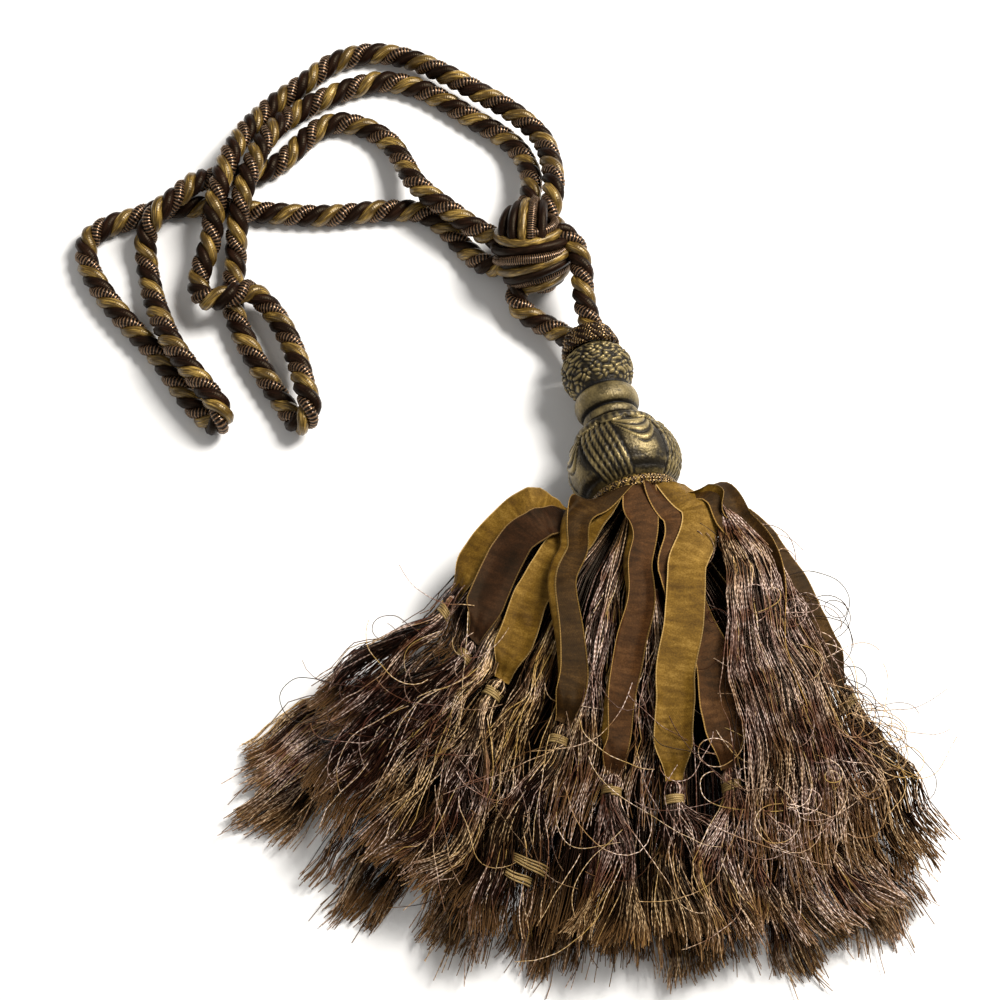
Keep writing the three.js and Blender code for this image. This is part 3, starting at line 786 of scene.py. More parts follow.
@dataclass(frozen=True)
class GimpFinish(Finish):
    """Dark core wrapped in cord, with painted shade in the grooves between the wraps and a painted highlight
    on each ridge.
    """

    groove: Colour
    flank: Colour
    crest: Colour
    pitch: float
    uneven_scale: float = 420.0
    fibre_scale: float = 2600.0

    def lay_on(self, paint: Paint) -> None:
        """Adds the ridges' colour: painted shade in the grooves and a painted highlight on each crest.

        Args:
            paint: Material that the finish goes on.
        """
        ridge = paint.math("ABSOLUTE", paint.wave(paint.number("along"), 2 * self.pitch))
        uneven = paint.noise(paint.place(), self.uneven_scale)
        level = paint.math("ADD", ridge, paint.swing(uneven, 0.35))
        # Painted light: near black in the grooves, pale on the crests.
        stops = [(0.3, self.groove), (0.8, self.flank), (1.02, self.crest)]
        paint.set(Base_Color=paint.ramp(level, stops), Roughness=paint.spread(uneven, 0.3, 0.7, 0.18, 0.34))
        paint.set(Metallic=0.55, Specular_IOR_Level=0.7, Specular_Tint=(1.0, 0.85, 0.7, 1.0))
        paint.bump(paint.noise(paint.place(), self.fibre_scale, 1.0), 0.06 * MM, 0.5)


@dataclass(frozen=True)
class BronzeFinish(Finish):
    """Antique bronze and gold paint: dark in the carving, rubbed bright on what stands proud."""

    deep: Colour
    body: Colour
    rubbed: Colour
    cloud_scale: float = 110.0
    grain_scale: float = 900.0
    pit_scale: float = 380.0

    def lay_on(self, paint: Paint) -> None:
        """Adds the wear by the carving's height, and the brushed grain.

        Args:
            paint: Material that the finish goes on.
        """
        place = paint.place()
        cloud = paint.noise(place, self.cloud_scale, 5.0)
        grain = paint.noise(place, self.grain_scale, 3.0)
        level = paint.math("ADD", paint.number("relief"), paint.swing(cloud, 0.75))
        level = paint.math("ADD", level, paint.swing(grain, 0.3))
        stops = [(0.14, self.deep), (0.58, self.body), (1.0, self.rubbed)]
        rough = paint.spread(level, 0.1, 0.9, 0.6, 0.4)
        paint.set(Base_Color=paint.ramp(level, stops), Metallic=0.55, Roughness=rough)
        paint.bump(paint.math("ADD", grain, paint.noise(place, self.pit_scale)), 0.4 * MM, 0.8)


@dataclass(frozen=True)
class RibbonFinish(Finish):
    """Hand-dyed silk ribbon: mottled colour, fine weave, a stitched edge."""

    shade: Colour
    body: Colour
    light: Colour
    edge: Colour
    dye_scale: float = 75.0
    slub_draw: float = 430.0
    fibre_scale: float = 1300.0
    stitch_pitch: float = 1.1 * MM
    weft_pitch: float = 0.6 * MM
    warp_turns: float = 70.0

    def lay_on(self, paint: Paint) -> None:
        """Adds the dye, the weave and the stitched edge.

        Args:
            paint: Material that the finish goes on.
        """
        across, along, place = paint.number("across"), paint.number("along"), paint.place()
        run = paint.math("MULTIPLY", along, self.slub_draw)
        slub = paint.noise(paint.joined(paint.math("MULTIPLY", across, 0.9), run, 0.0), 1.0, 5.0)
        dye, fibre = paint.noise(place, self.dye_scale, 5.0), paint.noise(place, self.fibre_scale)
        tone = paint.weighed((dye, 0.4), (slub, 0.34), (fibre, 0.26))
        cloth = paint.ramp(tone, [(0.38, self.shade), (0.52, self.body), (0.66, self.light)])
        rim = paint.spread(paint.math("ABSOLUTE", across), 0.93, 0.965, 0.0, 1.0)
        stitch = paint.spread(paint.wave(along, self.stitch_pitch), -1.0, 1.0, 0.55, 1.0)
        paint.set(Base_Color=paint.mixed(paint.math("MULTIPLY", rim, stitch), cloth, self.edge))
        paint.set(Roughness=paint.spread(slub, 0.3, 0.7, 0.55, 0.4))
        paint.set(Specular_IOR_Level=0.16, Specular_Tint=(1.0, 0.8, 0.5, 1.0))
        warp = paint.math("SINE", paint.math("MULTIPLY", across, self.warp_turns))
        woven = paint.math("MULTIPLY", warp, paint.wave(along, self.weft_pitch))
        paint.bump(paint.weighed((woven, 1.0), (slub, 2.5), (rim, 2.0)), 0.08 * MM, 0.7)


@dataclass(frozen=True)
class YarnFinish(Finish):
    """Twisted rayon threads: each its own brown, with painted highlights in dashes along the twist and
    painted shade between them, and faded at the cut.
    """

    stops: tuple[tuple[float, Colour], ...]
    gilt: tuple[tuple[float, Colour], ...]
    # Colours of the painted highlights on the twist.
    glint: Colour
    gilt_glint: Colour
    end: Colour
    twist: float
    warm_scale: float = 24.0
    patch_scale: float = 85.0
    tone_lag: float = 300.0

    def lay_on(self, paint: Paint) -> None:
        """Adds the thread's dye, its twist's painted highlights and the painted shade between them, and its
        faded end.

        Args:
            paint: Material that the finish goes on.
        """
        tone, along, place = paint.number("tone"), paint.number("along"), paint.place()
        warm = paint.spread(paint.noise(place, self.warm_scale), 0.45, 0.62, 0.0, 1.0)
        dyed = paint.mixed(warm, paint.ramp(tone, self.stops), paint.ramp(tone, self.gilt))
        # Painted light: the twist's wave lays pale highlight dashes on the brighter threads and darkens the
        # thread between them as painted shade.
        turn = paint.math("SINE", paint.weighed((along, TURN / self.twist), (tone, self.tone_lag)))
        patch = paint.spread(paint.noise(place, self.patch_scale), 0.4, 0.6, 0.02, 0.95)
        gleam = paint.math("MULTIPLY", paint.spread(turn, -0.7, 0.8, 0.22, 1.0), patch)
        catch = paint.math("MULTIPLY", gleam, paint.spread(tone, 0.44, 0.78, 0.0, 0.95))
        # From here dyed also carries the painted shade between the highlight dashes.
        dyed = paint.mixed(paint.spread(turn, -0.9, 0.2, 0.28, 0.0), dyed, self.stops[1][1])
        faded = paint.mixed(paint.math("MULTIPLY", paint.number("cut"), 0.58), dyed, self.end)
        paint.set(Base_Color=paint.mixed(catch, faded, paint.mixed(warm, self.glint, self.gilt_glint)))
        paint.set(Roughness=0.34, Specular_IOR_Level=0.16, Specular_Tint=(1.0, 0.78, 0.56, 1.0))


@dataclass(frozen=True)
class FloorFinish(Finish):
    """Plain pale table top."""

    body: Colour
    cloud_scale: float = 3.0

    def lay_on(self, paint: Paint) -> None:
        """Adds a faint cloud to the table's colour.

        Args:
            paint: Material that the finish goes on.
        """
        darker = tuple(0.97 * part for part in self.body)
        cloud = paint.noise(paint.place(), self.cloud_scale)
        paint.set(Base_Color=paint.mixed(cloud, self.body, darker), Roughness=0.85)


GIMP_PITCH = 1.05 * MM
GOLD_SATIN = SatinFinish(
    "rope_gold_satin", (0.009, 0.004, 0.0006), (0.082, 0.044, 0.006), (0.62, 0.4, 0.1), 0.7, 0.3
)
BROWN_SATIN = SatinFinish(
    "rope_brown_satin", (0.0018, 0.0006, 0.0004), (0.008, 0.003, 0.0017), (0.034, 0.0135, 0.007), 0.12
)
GIMP = GimpFinish(
    "rope_gimp", (0.001, 0.0004, 0.0003), (0.012, 0.0046, 0.0022), (0.25, 0.143, 0.074), GIMP_PITCH
)
FINE_GIMP_PITCH = 0.8 * MM
FINE_GIMP = GimpFinish(
    "cord_gimp", (0.005, 0.002, 0.001), (0.035, 0.017, 0.006), (0.3, 0.185, 0.07), FINE_GIMP_PITCH
)
BINDING = SatinFinish("binding_gold", (0.09, 0.05, 0.014), (0.25, 0.16, 0.055), (0.5, 0.37, 0.16))
BRONZE = BronzeFinish("antique_bronze", (0.002, 0.0013, 0.0006), (0.02, 0.0138, 0.0045), (0.3, 0.225, 0.09))
YARN = YarnFinish(
    "fringe_yarn",
    (
        (0.0, (0.002, 0.0008, 0.0006)),
        (0.36, (0.013, 0.0036, 0.0022)),
        (0.6, (0.098, 0.031, 0.0175)),
        (0.8, (0.24, 0.107, 0.062)),
        (1.0, (0.42, 0.27, 0.075)),
    ),
    (
        (0.0, (0.003, 0.0013, 0.0006)),
        (0.36, (0.014, 0.0058, 0.002)),
        (0.6, (0.1, 0.045, 0.014)),
        (0.8, (0.24, 0.125, 0.042)),
        (1.0, (0.48, 0.295, 0.085)),
    ),
    (0.98, 0.78, 0.67),
    (0.94, 0.67, 0.37),
    (0.26, 0.135, 0.05),
    2.4 * MM,
)
RIBBON_FINISHES = {
    Tone.GOLD: RibbonFinish(
        "ribbon_gold_silk",
        (0.06, 0.028, 0.003), (0.135, 0.07, 0.008), (0.27, 0.155, 0.03), (0.5, 0.32, 0.11),
    ),
    Tone.BROWN: RibbonFinish(
        "ribbon_brown_silk",
        (0.016, 0.0055, 0.0018), (0.05, 0.0185, 0.005), (0.105, 0.044, 0.013), (0.38, 0.22, 0.065),
    ),
    Tone.BRONZE: RibbonFinish(
        "ribbon_bronze_silk",
        (0.01, 0.0038, 0.0008), (0.027, 0.0115, 0.0022), (0.07, 0.033, 0.007), (0.4, 0.235, 0.065),
    ),
    # Painted shade: a darker copy of the brown silk, for the face of a ribbon on the fan's left.
    Tone.SHADED_BROWN: RibbonFinish(
        "ribbon_shaded_brown_silk",
        (0.007, 0.0025, 0.001), (0.021, 0.0075, 0.0027), (0.046, 0.018, 0.0065), (0.24, 0.14, 0.045),
    ),
}
FLOOR = FloorFinish("pale_table", (0.93, 0.925, 0.915))


@dataclass
class RopeWork:
    """Three-ply rope: two loops, two legs to the head and the wound knot between them.

    Attributes:
        fine_step: Step along the gimp, which has ridges; the smooth plies have the coarse step.
        knot_bunch: How far the knot's turns crowd on one side, which knot_bunch_at gives as an angle.
        knot_poles: Where the winding starts and ends, as shares of the way from pole to pole.
        knot_waist: Share of that way to which the turns crowd.
    """

    diameter: float = 12.0
    ply_radius: float = 3.0
    lay: float = -22.0
    fine_step: float = 0.262
    coarse_step: float = 1.3
    sides: int = 8
    ridge_depth: float = 0.14
    path_step: float = 3.0
    knot_centre: tuple[float, float, float] = (23.0, 114.0, 21.5)
    knot_axis: tuple[float, float, float] = (-0.04, 0.6, 0.8)
    knot_bunch: float = 0.42
    knot_bunch_at: float = -0.2
    knot_poles: tuple[float, float] = (0.94, 0.05)
    knot_waist: float = 0.42
    knot_radius: float = 18.7
    knot_turns: float = 3.8
    knot_ply: float = 2.5
    core_gap: float = 0.9
    materials: dict[str, Material] = field(default_factory=dict)

    def values(self, offset: float, radius: float) -> dict[str, Any]:
        """Gives the ply tree's inputs for a ply's distance from the rope's middle and its radius."""
        sizes = {"Offset": offset * MM, "Radius": radius * MM, "Lay": self.lay * MM, "Sides": self.sides}
        return {**sizes, "Ridge Pitch": GIMP_PITCH, "Ridge Depth": self.ridge_depth, **self.materials}

    def route(self, corners: Sequence[Sequence[float]], ply: Ply) -> Array:
        """Runs a route at the step that a ply's section needs."""
        return smooth_route(corners, self.step(ply))

    def step(self, ply: Ply) -> float:
        """Gives the step that a ply's section needs along its route."""
        return self.fine_step if ply is Ply.GIMP else self.coarse_step

    def rope(self, name: str, corners: Sequence[Sequence[float]], tree: PlyTree) -> Piece:
        """Lays three plies along a route.

        Args:
            name: Name of the piece.
            corners: Route in millimetres.
            tree: Tree that lays and sweeps the plies.

        Returns:
            The rope.
        """
        lines = [ply_line(self.route(corners, ply), ply, TURN * ply.value / len(Ply)) for ply in Ply]
        offset = self.diameter / 2 - self.ply_radius
        return tree.sweep(line_object(name, lines), self.values(offset, self.ply_radius))

    def knot_line(self, ply: Ply) -> Array:
        """Winds one ply round the knot from pole to pole.

        Args:
            ply: Kind of ply.

        Returns:
            Points in millimetres.
        """
        axis = unit(np.array(self.knot_axis))
        side = unit(np.cross(axis, UP))
        rise = np.cross(axis, side)
        share = np.linspace(0.0, 1.0, 900)
        polar = math.pi * blend(*self.knot_poles, share)
        round_ = TURN * (self.knot_turns * share + ply.value / len(Ply))
        bunch = self.knot_bunch * np.cos(round_ - self.knot_bunch_at)
        polar = polar + bunch * (self.knot_waist * math.pi - polar) * np.sin(polar) ** 2
        polar = polar + 0.05 * np.sin(2 * round_ + 1.3 * ply.value) * np.sin(polar)
        radius = self.knot_radius + 0.9 * np.sin(1.7 * round_ + 1.9 * ply.value)
        radius = radius + 1.4 * np.clip(bunch / self.knot_bunch, 0, 1) - 1.6 * (1 - np.sin(polar)) ** 2
        out = np.cos(round_)[:, None] * side + np.sin(round_)[:, None] * rise
        spoke = np.cos(polar)[:, None] * axis + np.sin(polar)[:, None] * out
        line = np.array(self.knot_centre) + radius[:, None] * spoke
        line[:, 2] = np.maximum(line[:, 2], self.knot_ply + 0.1)
        return even_steps(line, self.step(ply))

    def knot_core(self) -> Piece:
        """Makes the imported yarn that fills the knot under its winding.

        Returns:
            The core.
        """
        rings, sides = 24, 36
        polar = np.linspace(0.02, math.pi - 0.02, rings)[:, None]
        angle = -np.linspace(0, TURN, sides, endpoint=False)[None, :]
        ball = np.stack(np.broadcast_arrays(
            np.sin(polar) * np.cos(angle), np.sin(polar) * np.sin(angle), np.cos(polar)
        ), axis=-1)
        radius = self.knot_radius - self.core_gap
        points = np.array(self.knot_centre) + radius * np.vstack([ball.reshape(-1, 3), UP, -UP])
        marks = {"along": np.concatenate([np.repeat(polar.ravel() * self.knot_radius * MM, sides), [0, 0]])}
        return surface("knot_core", points, ring_faces(rings, sides), marks, self.materials["Brown"])

    def knot(self, tree: PlyTree) -> Piece:
        """Sweeps the knot's wound plies and those that rise over its top.

        Args:
            tree: Tree that lays and sweeps the plies.

        Returns:
            The wound knot.
        """
        lines = [ply_line(self.knot_line(ply), ply) for ply in Ply]
        centre = np.array(self.knot_centre)
        lines += [ply_line(centre + self.route(corners, ply), ply) for ply, corners in KNOT_CROWN]
        return tree.sweep(line_object("knot_winding", lines), self.values(0.0, self.knot_ply))

    def build(self, tree: PlyTree) -> None:
        """Args:
            tree: Tree that lays and sweeps the plies.
        """
        finishes = {"Gold": GOLD_SATIN, "Brown": BROWN_SATIN, "Gimp": GIMP}
        self.materials = {name: finish.material() for name, finish in finishes.items()}
        for name, corners, loose in (
            ("loop_upper", UPPER_LOOP, True), ("loop_lower", LOWER_LOOP, True),
            ("neck_right", NECK_RIGHT, False), ("neck_left", NECK_LEFT, False),
        ):
            piece = dress(self.rope(f"{name}_plies", corners, tree), "rope", f"rope_{name}")
        dress(self.knot(tree), "rope", "wound_knot")
        dress(self.knot_core(), "rope")


def dress(piece: Piece, slot: str, *nodes: str) -> Piece:
    """Puts a piece on its body and in its solids' place.

    Args:
        piece: Finished piece.
        slot: Material slot of the record; not used.
        *nodes: Solids that it stands for.

    Returns:
        The piece.
    """
    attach(piece, BODY)
    if nodes:
        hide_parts(*nodes)
    log.info("%s: %d faces", piece.name, len(piece.data.polygons))
    return piece


@dataclass
class HeadFrame:
    """The carved head's base, axis and directions, in millimetres."""

    base: Array = field(default_factory=lambda: np.array([71.2, -29.8, 27.9]))
    axis: Array = field(default_factory=lambda: unit(np.array([-18.55, 83.1, -5.4])))

    def __post_init__(self) -> None:
        """Works out the directions across the axis."""
        self.side = unit(np.cross(self.axis, UP))
        self.rise = unit(np.cross(self.side, self.axis))

    def point(self, at: Array, radius: Array, angle: Array) -> Array:
        """Gives points round the head.

        Args:
            at: Distance along the axis from the base.
            radius: Distance from the axis.
            angle: Angle from the right towards the top.

        Returns:
            Points in millimetres.
        """
        at, radius, angle = np.broadcast_arrays(at, radius, angle)
        across = (radius * np.cos(angle))[..., None] * self.side
        up = (radius * np.sin(angle))[..., None] * self.rise
        return self.base + at[..., None] * self.axis + across + up


@dataclass
class CarvedHead:
    """Turned and carved head: swags and cord bundles on the ball, petals, rings and a pinecone."""

    frame: HeadFrame
    length: float = 85.3
    stations: int = 220
    columns: int = 200
    panels: int = 4
    bundle_share: float = 0.46
    bundle_cords: int = 6
    ball_start: float = 5.8
    ball_end: float = 36.9
    petals: int = 9
    petal_end: float = 43.3
    cone_start: float = 63.3
    cone_end: float = 84.3
    cone_scales: int = 18
    cone_pitch: float = 3.4
    grooves: tuple[tuple[float, float], ...] = ((43.8, 0.8), (49.6, 0.8), (62.3, 1.2))
    outline: tuple[tuple[float, float], ...] = (
        (0, 17.2), (4.6, 17.2), (5.8, 19.6), (9.2, 23.3), (12.7, 25.3), (16.2, 26.5), (20.8, 27),
        (25.4, 26.5), (30, 24.8), (33.5, 22.6), (36.9, 19.2), (38.1, 19.4), (41, 17.6), (42.7, 14.5),
        (43.8, 11.6), (45, 13.2), (47.3, 13.8), (49, 13.2), (49.6, 12.2), (50.8, 14.2), (53.1, 15.6),
        (56, 15.9), (58.8, 15.4), (61.1, 13.8), (62.3, 12.4), (65.3, 14.2), (68.3, 15.8), (71.8, 17),
        (75.3, 17.3), (78.8, 16.8), (82.3, 15.2), (84.8, 13.2), (85.3, 12.4),
    )

    def ball(self, at: Array, angle: Array) -> Array:
        """Carving of the ball.

        Args:
            at: Distance along the axis.
            angle: Angle round the axis.

        Returns:
            Height of the carving, from 0 in a groove to 1 on a crest.
        """
        down = (at - self.ball_start) / (self.ball_end - self.ball_start)
        panel = np.mod(angle * self.panels / TURN - 0.16 * (down - 0.5) - 0.08, 1.0)
        cord = np.mod(panel / self.bundle_share * self.bundle_cords, 1.0)
        rounded = np.sqrt(np.clip(1 - (2 * cord - 1) ** 2, 0, 1))
        bundle = (0.84 + 0.14 * np.cos(TURN * (at / 3.0 + 1.7 * cord))) * rounded
        across = 2 * (panel - self.bundle_share) / (1 - self.bundle_share) - 1
        sag = (0.98 - down) / (0.1 + 0.5 * np.clip(1 - across**2, 0, 1))
        folds = 0.35 + 0.6 * np.abs(np.cos(math.pi * 3.5 * sag)) * ease(sag, 0, 0.1)
        belly = 0.5 + 0.24 * np.clip(1 - across**2, 0, 1)
        hem = 0.3 + 0.4 * np.abs(np.cos(TURN * 3.0 * down))
        lower = blend(belly, hem, 1 - ease(down, 0.16, 0.24))
        swag = np.where(sag < 1, folds, lower)
        swag = swag * ease(1 - np.abs(across), 0.0, 0.1)
        return np.where(panel < self.bundle_share, bundle, swag)

    def cone(self, at: Array, angle: Array) -> Array:
        """Scales of the pinecone, from 0 in a groove to 1 on a scale's middle.

        Args:
            at: Distance along the head's axis.
            angle: Angle round it.

        Returns:
            Relief at each point.
        """
        sway = 0.22 * np.sin(7 * angle + 0.9 * at) + 0.16 * np.sin(13 * angle - 0.5 * at)
        round_ = angle * self.cone_scales / TURN + sway
        waver = 0.2 * np.sin(5 * angle) + 0.12 * np.sin(11 * angle + 1)
        row = (at - self.cone_start) / self.cone_pitch + waver
        first, second = np.mod(round_ + row, 1.0), np.mod(round_ - row, 1.0)
        scale = np.clip(np.sin(math.pi * first) * np.sin(math.pi * second), 0, 1) ** 0.45
        leaf = np.clip(0.5 - (first - second) / 2, 0, 1)
        return np.clip(0.16 + scale * (0.56 + 0.5 * leaf), 0, 1)

    def build(self) -> None:
        """Makes the carved head."""
        places = np.linspace(0.0, self.length, 1600)
        radii = smooth_profile(self.outline, places)
        run = np.concatenate([[0.0], np.cumsum(np.hypot(np.diff(places), np.diff(radii)))])
        station = np.interp(np.linspace(0, run[-1], self.stations), run, places)[:, None]
        radius = smooth_profile(self.outline, station)
        turn = -np.linspace(0, TURN, self.columns, endpoint=False)[None, :]
        at, angle = np.broadcast_arrays(station, turn)
        relief, depth = np.full(at.shape, 0.76), np.full(at.shape, 0.08)
        for start, end, lead, deepest, carving in (
            (self.ball_start, self.ball_end, 2, 2.1, self.ball),
            (self.cone_start, self.cone_end, 3, 2.0, self.cone),
        ):
            inside = (at > start) & (at < end)
            fade = ease(at, start, start + lead) * (1 - ease(at, end - 2, end))
            relief = np.where(inside, carving(at, angle), relief)
            depth = np.where(inside, deepest * fade, depth)
        petal = np.abs(np.sin(angle * self.petals / 2)) ** 0.6
        rim = self.ball_end + 1.6 - 4.2 * petal
        on_petals = (at > rim) & (at < self.petal_end)
        vein = 0.12 * np.cos(angle * self.petals * 4)
        leaf = 0.3 + 0.45 * petal + 0.35 * np.exp(-(((at - rim) / 1.3) ** 2)) + vein
        relief = np.where(on_petals, leaf, relief)
        raised = np.where(on_petals, 1.3 * (1 - ease(at, 39.5, self.petal_end)), 0.0)
        for place, wide in self.grooves:
            relief = np.clip(relief - 0.7 * np.exp(-(((at - place) / wide) ** 2)), 0, 1)
        points = self.frame.point(at, radius + raised + depth * (relief - 0.55), angle)
        points[..., 2] = np.maximum(points[..., 2], 0.0)
        skin = np.vstack([points.reshape(-1, 3), points[0].mean(0), points[-1].mean(0)])
        marks = {"relief": np.concatenate([relief.ravel(), [0.3, 0.3]])}
        head = surface("carved_head", skin, ring_faces(*at.shape), marks, BRONZE.material())
        dress(head, "head", "tassel_head")


@dataclass
class HeadCords:
    """Cords wound at the head's rope end and laid round its base."""

    frame: HeadFrame
    top_start: float = 85.6
    top_pitch: float = 3.0
    top_turns: int = 4
    top_wide: float = 13.5
    top_narrow: float = 11.1
    top_cord: float = 1.75
    lid_turns: float = 3.2
    base_rings: tuple[tuple[float, float], ...] = ((-0.1, 20.3), (1.5, 21.0), (3.1, 20.3))
    base_cord: float = 1.35
    top_lay: float = 7.0
    base_lay: float = 4.6
    step: float = 0.66

    def top_line(self) -> Array:
        """Winds the cord up the neck and closes its end with a flat coil.

        Returns:
            Points in millimetres.
        """
        share = np.linspace(0, 1, 700)
        round_ = TURN * (self.top_turns + 0.2) * share
        at = self.top_start + self.top_cord + (self.top_pitch * self.top_turns - 2 * self.top_cord) * share
        wall = self.frame.point(at, blend(self.top_wide, self.top_narrow, share), round_ + 0.6)
        end = round_[-1] + 0.6 + TURN * self.lid_turns * share[1:]
        lid = self.frame.point(at[-1] + 0.4 * share[1:], blend(self.top_narrow, 1.5, share[1:]), end)
        return np.vstack([wall, lid])

    def cord(
        self, name: str, line: Array, radius: float, lay: float, materials: dict[str, Any], tree: PlyTree
    ) -> Piece:
        """Lays a small three-ply cord along a line.

        Args:
            name: Name of the piece.
            line: Points in millimetres.
            radius: Radius of the cord.
            lay: Length of one turn, negative to twist the other way.
            materials: Materials of the plies.
            tree: Tree that lays and sweeps plies.

        Returns:
            The cord.
        """
        points = even_steps(line, self.step)
        lines = [ply_line(points, ply, TURN * ply.value / len(Ply)) for ply in Ply]
        values = {
            "Offset": 0.5 * radius * MM, "Radius": 0.54 * radius * MM, "Lay": lay * MM, "Sides": 6,
            "Ridge Pitch": FINE_GIMP_PITCH, "Ridge Depth": 0.12, **materials,
        }
        return tree.sweep(line_object(name, lines), values)

    def build(self, tree: PlyTree, rope: RopeWork) -> None:
        """Makes both cords.

        Args:
            tree: Tree that lays and sweeps plies.
            rope: Rope whose satin the cords share.
        """
        fine = FINE_GIMP.material()
        light = {"Gold": rope.materials["Gold"], "Brown": fine, "Gimp": fine}
        dark = {"Gold": fine, "Brown": rope.materials["Brown"], "Gimp": fine}
        wound = self.cord("top_winding", self.top_line(), self.top_cord, self.top_lay, dark, tree)
        dress(wound, "cord", "top_cord")
        for number, (at, radius) in enumerate(self.base_rings):
            line = self.frame.point(at, radius, np.linspace(0, TURN * 1.004, 500))
            lay = self.base_lay * (-1) ** number
            piece = self.cord(f"base_braid_{number + 1}", line, self.base_cord, lay, light, tree)
            dress(piece, "cord", *(("base_cord",) if number == 0 else ()))


@dataclass(frozen=True)
class RibbonRow:
    """One ribbon of a layer.

    Attributes:
        bearing: Bearing in degrees.
        length: Distance from the head to its small tassel, in millimetres.
        roll: Roll at its far end, in degrees.
        reach: Distance from the head to the tassel's tips.
        slot: Share of the fan that the tassel fills, in degrees.
        tone: Colour of its face.
        leave: Root's angle round the base, and the bearing added near it and half way.
        hems: How far the left and right edge roll over, in radians.
        tier: How high it lies over its neighbours at the root, in millimetres.
        face: Colour of its upper face, where that differs from its slot's.
    """

    bearing: float
    length: float
    roll: float
    reach: float
    slot: float
    tone: Tone
    leave: tuple[float, float, float] = (0.0, 0.0, 0.0)
    hems: tuple[float, float] = (0.0, 0.0)
    tier: float = 0.0
    face: Tone | None = None

    def bearing_at(self, reach: Array) -> Array:
        """Gives its bearing before the fan's own swing.

        Args:
            reach: Distances from the head.

        Returns:
            Bearing at each, in degrees.
        """
        near, mid = self.leave[1:]
        early = blend(near, mid, ease(reach, 14, 44))
        return self.bearing + early * (1 - ease(reach, 50, 100))


UPPER_RIBBONS = (
    RibbonRow(-56.8, 98, 8, 178, 8.6, Tone.GOLD, (-64, -7, -6), (0.2, 0.5)),
    # The second ribbon's face takes the umber silk, painted shade on the fan's left.
    RibbonRow(-45.6, 105, -9, 203, 9.2, Tone.BROWN, (-54, -9, -6), (0.4, 0.1), 0.0, Tone.SHADED_BROWN),
    RibbonRow(-35, 111, 6, 209, 11.8, Tone.GOLD, (-38, -2, -1), (0.3, 0.2)),
    RibbonRow(-18, 118, -10, 209, 12.3, Tone.BROWN, (-26, -34, -11), (2.8, 0.3), 0.9, Tone.BRONZE),
    RibbonRow(-6.6, 135, 5, 206, 9.8, Tone.BROWN, (2, 9, 2), (2.8, 0.3), 1.4),
    RibbonRow(3.2, 138, 8, 200, 9.2, Tone.GOLD, (46, 34, 6), (0.3, 0.2), 1.0),
    RibbonRow(12.4, 136, -6, 206, 8.8, Tone.BROWN, (24, 16, -4), (0.0, 0.1), -0.6),
    RibbonRow(24, 138, 10, 213, 11.6, Tone.BRONZE, (60, 36, 12), (0.2, 1.4)),
    RibbonRow(36.5, 128, -10, 206, 9.8, Tone.BRONZE, (72, 15, 5), (1.2, 0.3)),
)
LOWER_RIBBONS = (
    RibbonRow(-55.3, 102, 0, 216, 7.4, Tone.BROWN),
    RibbonRow(-47.9, 109, 0, 229, 7.7, Tone.GOLD),
    RibbonRow(-36.8, 113, 0, 228, 11.2, Tone.BRONZE),
    RibbonRow(-24.6, 116, 0, 226, 10, Tone.BROWN),
    RibbonRow(-13.8, 119, 0, 215, 10, Tone.GOLD),
    RibbonRow(-3, 118, 0, 204, 10, Tone.BROWN),
    RibbonRow(7.9, 118, 0, 212, 10, Tone.BRONZE),
    RibbonRow(19.3, 115, 0, 223, 10.2, Tone.BROWN),
    RibbonRow(30.8, 112, 0, 225, 10.2, Tone.GOLD),
)

# Both layers, and whether each lies on the pile
LAYERS = ((UPPER_RIBBONS, True), (LOWER_RIBBONS, False))
SMALL_TASSELS = tuple((row, upper) for rows, upper in LAYERS for row in rows)

# Creases across the ribbons: share of the length, slant, width and height in millimetres
CREASES = (
    (0.14, 0.5, 2.6, 0.8), (0.24, -0.4, 3.6, -1.0), (0.37, 0.9, 2.2, 0.7), (0.5, -0.7, 4.2, 1.0),
    (0.63, 0.3, 2.4, -0.8), (0.76, -1.0, 3.0, 0.8), (0.87, 0.6, 2.6, -0.7),
)

# Locks that lie between and over the ribbons: bearing, half spread, threads, start, end, lift, and
# the bearing added near the head and half way
OVER_LOCKS = (
    (-12.6, 2.6, 110, 4, 152, -6.8, 0, -2), (-1.8, 1.5, 45, 50, 152, -6.9, 4, 2),
    (-26.5, 2.4, 55, 66, 172, -4.2, 0, 0), (17.5, 2.2, 100, 4, 172, 3.2, 41, 10),
    (23, 2.6, 130, 4, 188, 4.6, 32, 9), (28.5, 2.6, 100, 4, 188, 3.8, 22, 7),
    (33, 2.2, 30, 40, 182, 2.0, 8, 3), (-40.3, 2.4, 45, 88, 184, -4.0, 0, 0),
    (-52, 2.8, 100, 4, 120, -8, -7, -5),
)


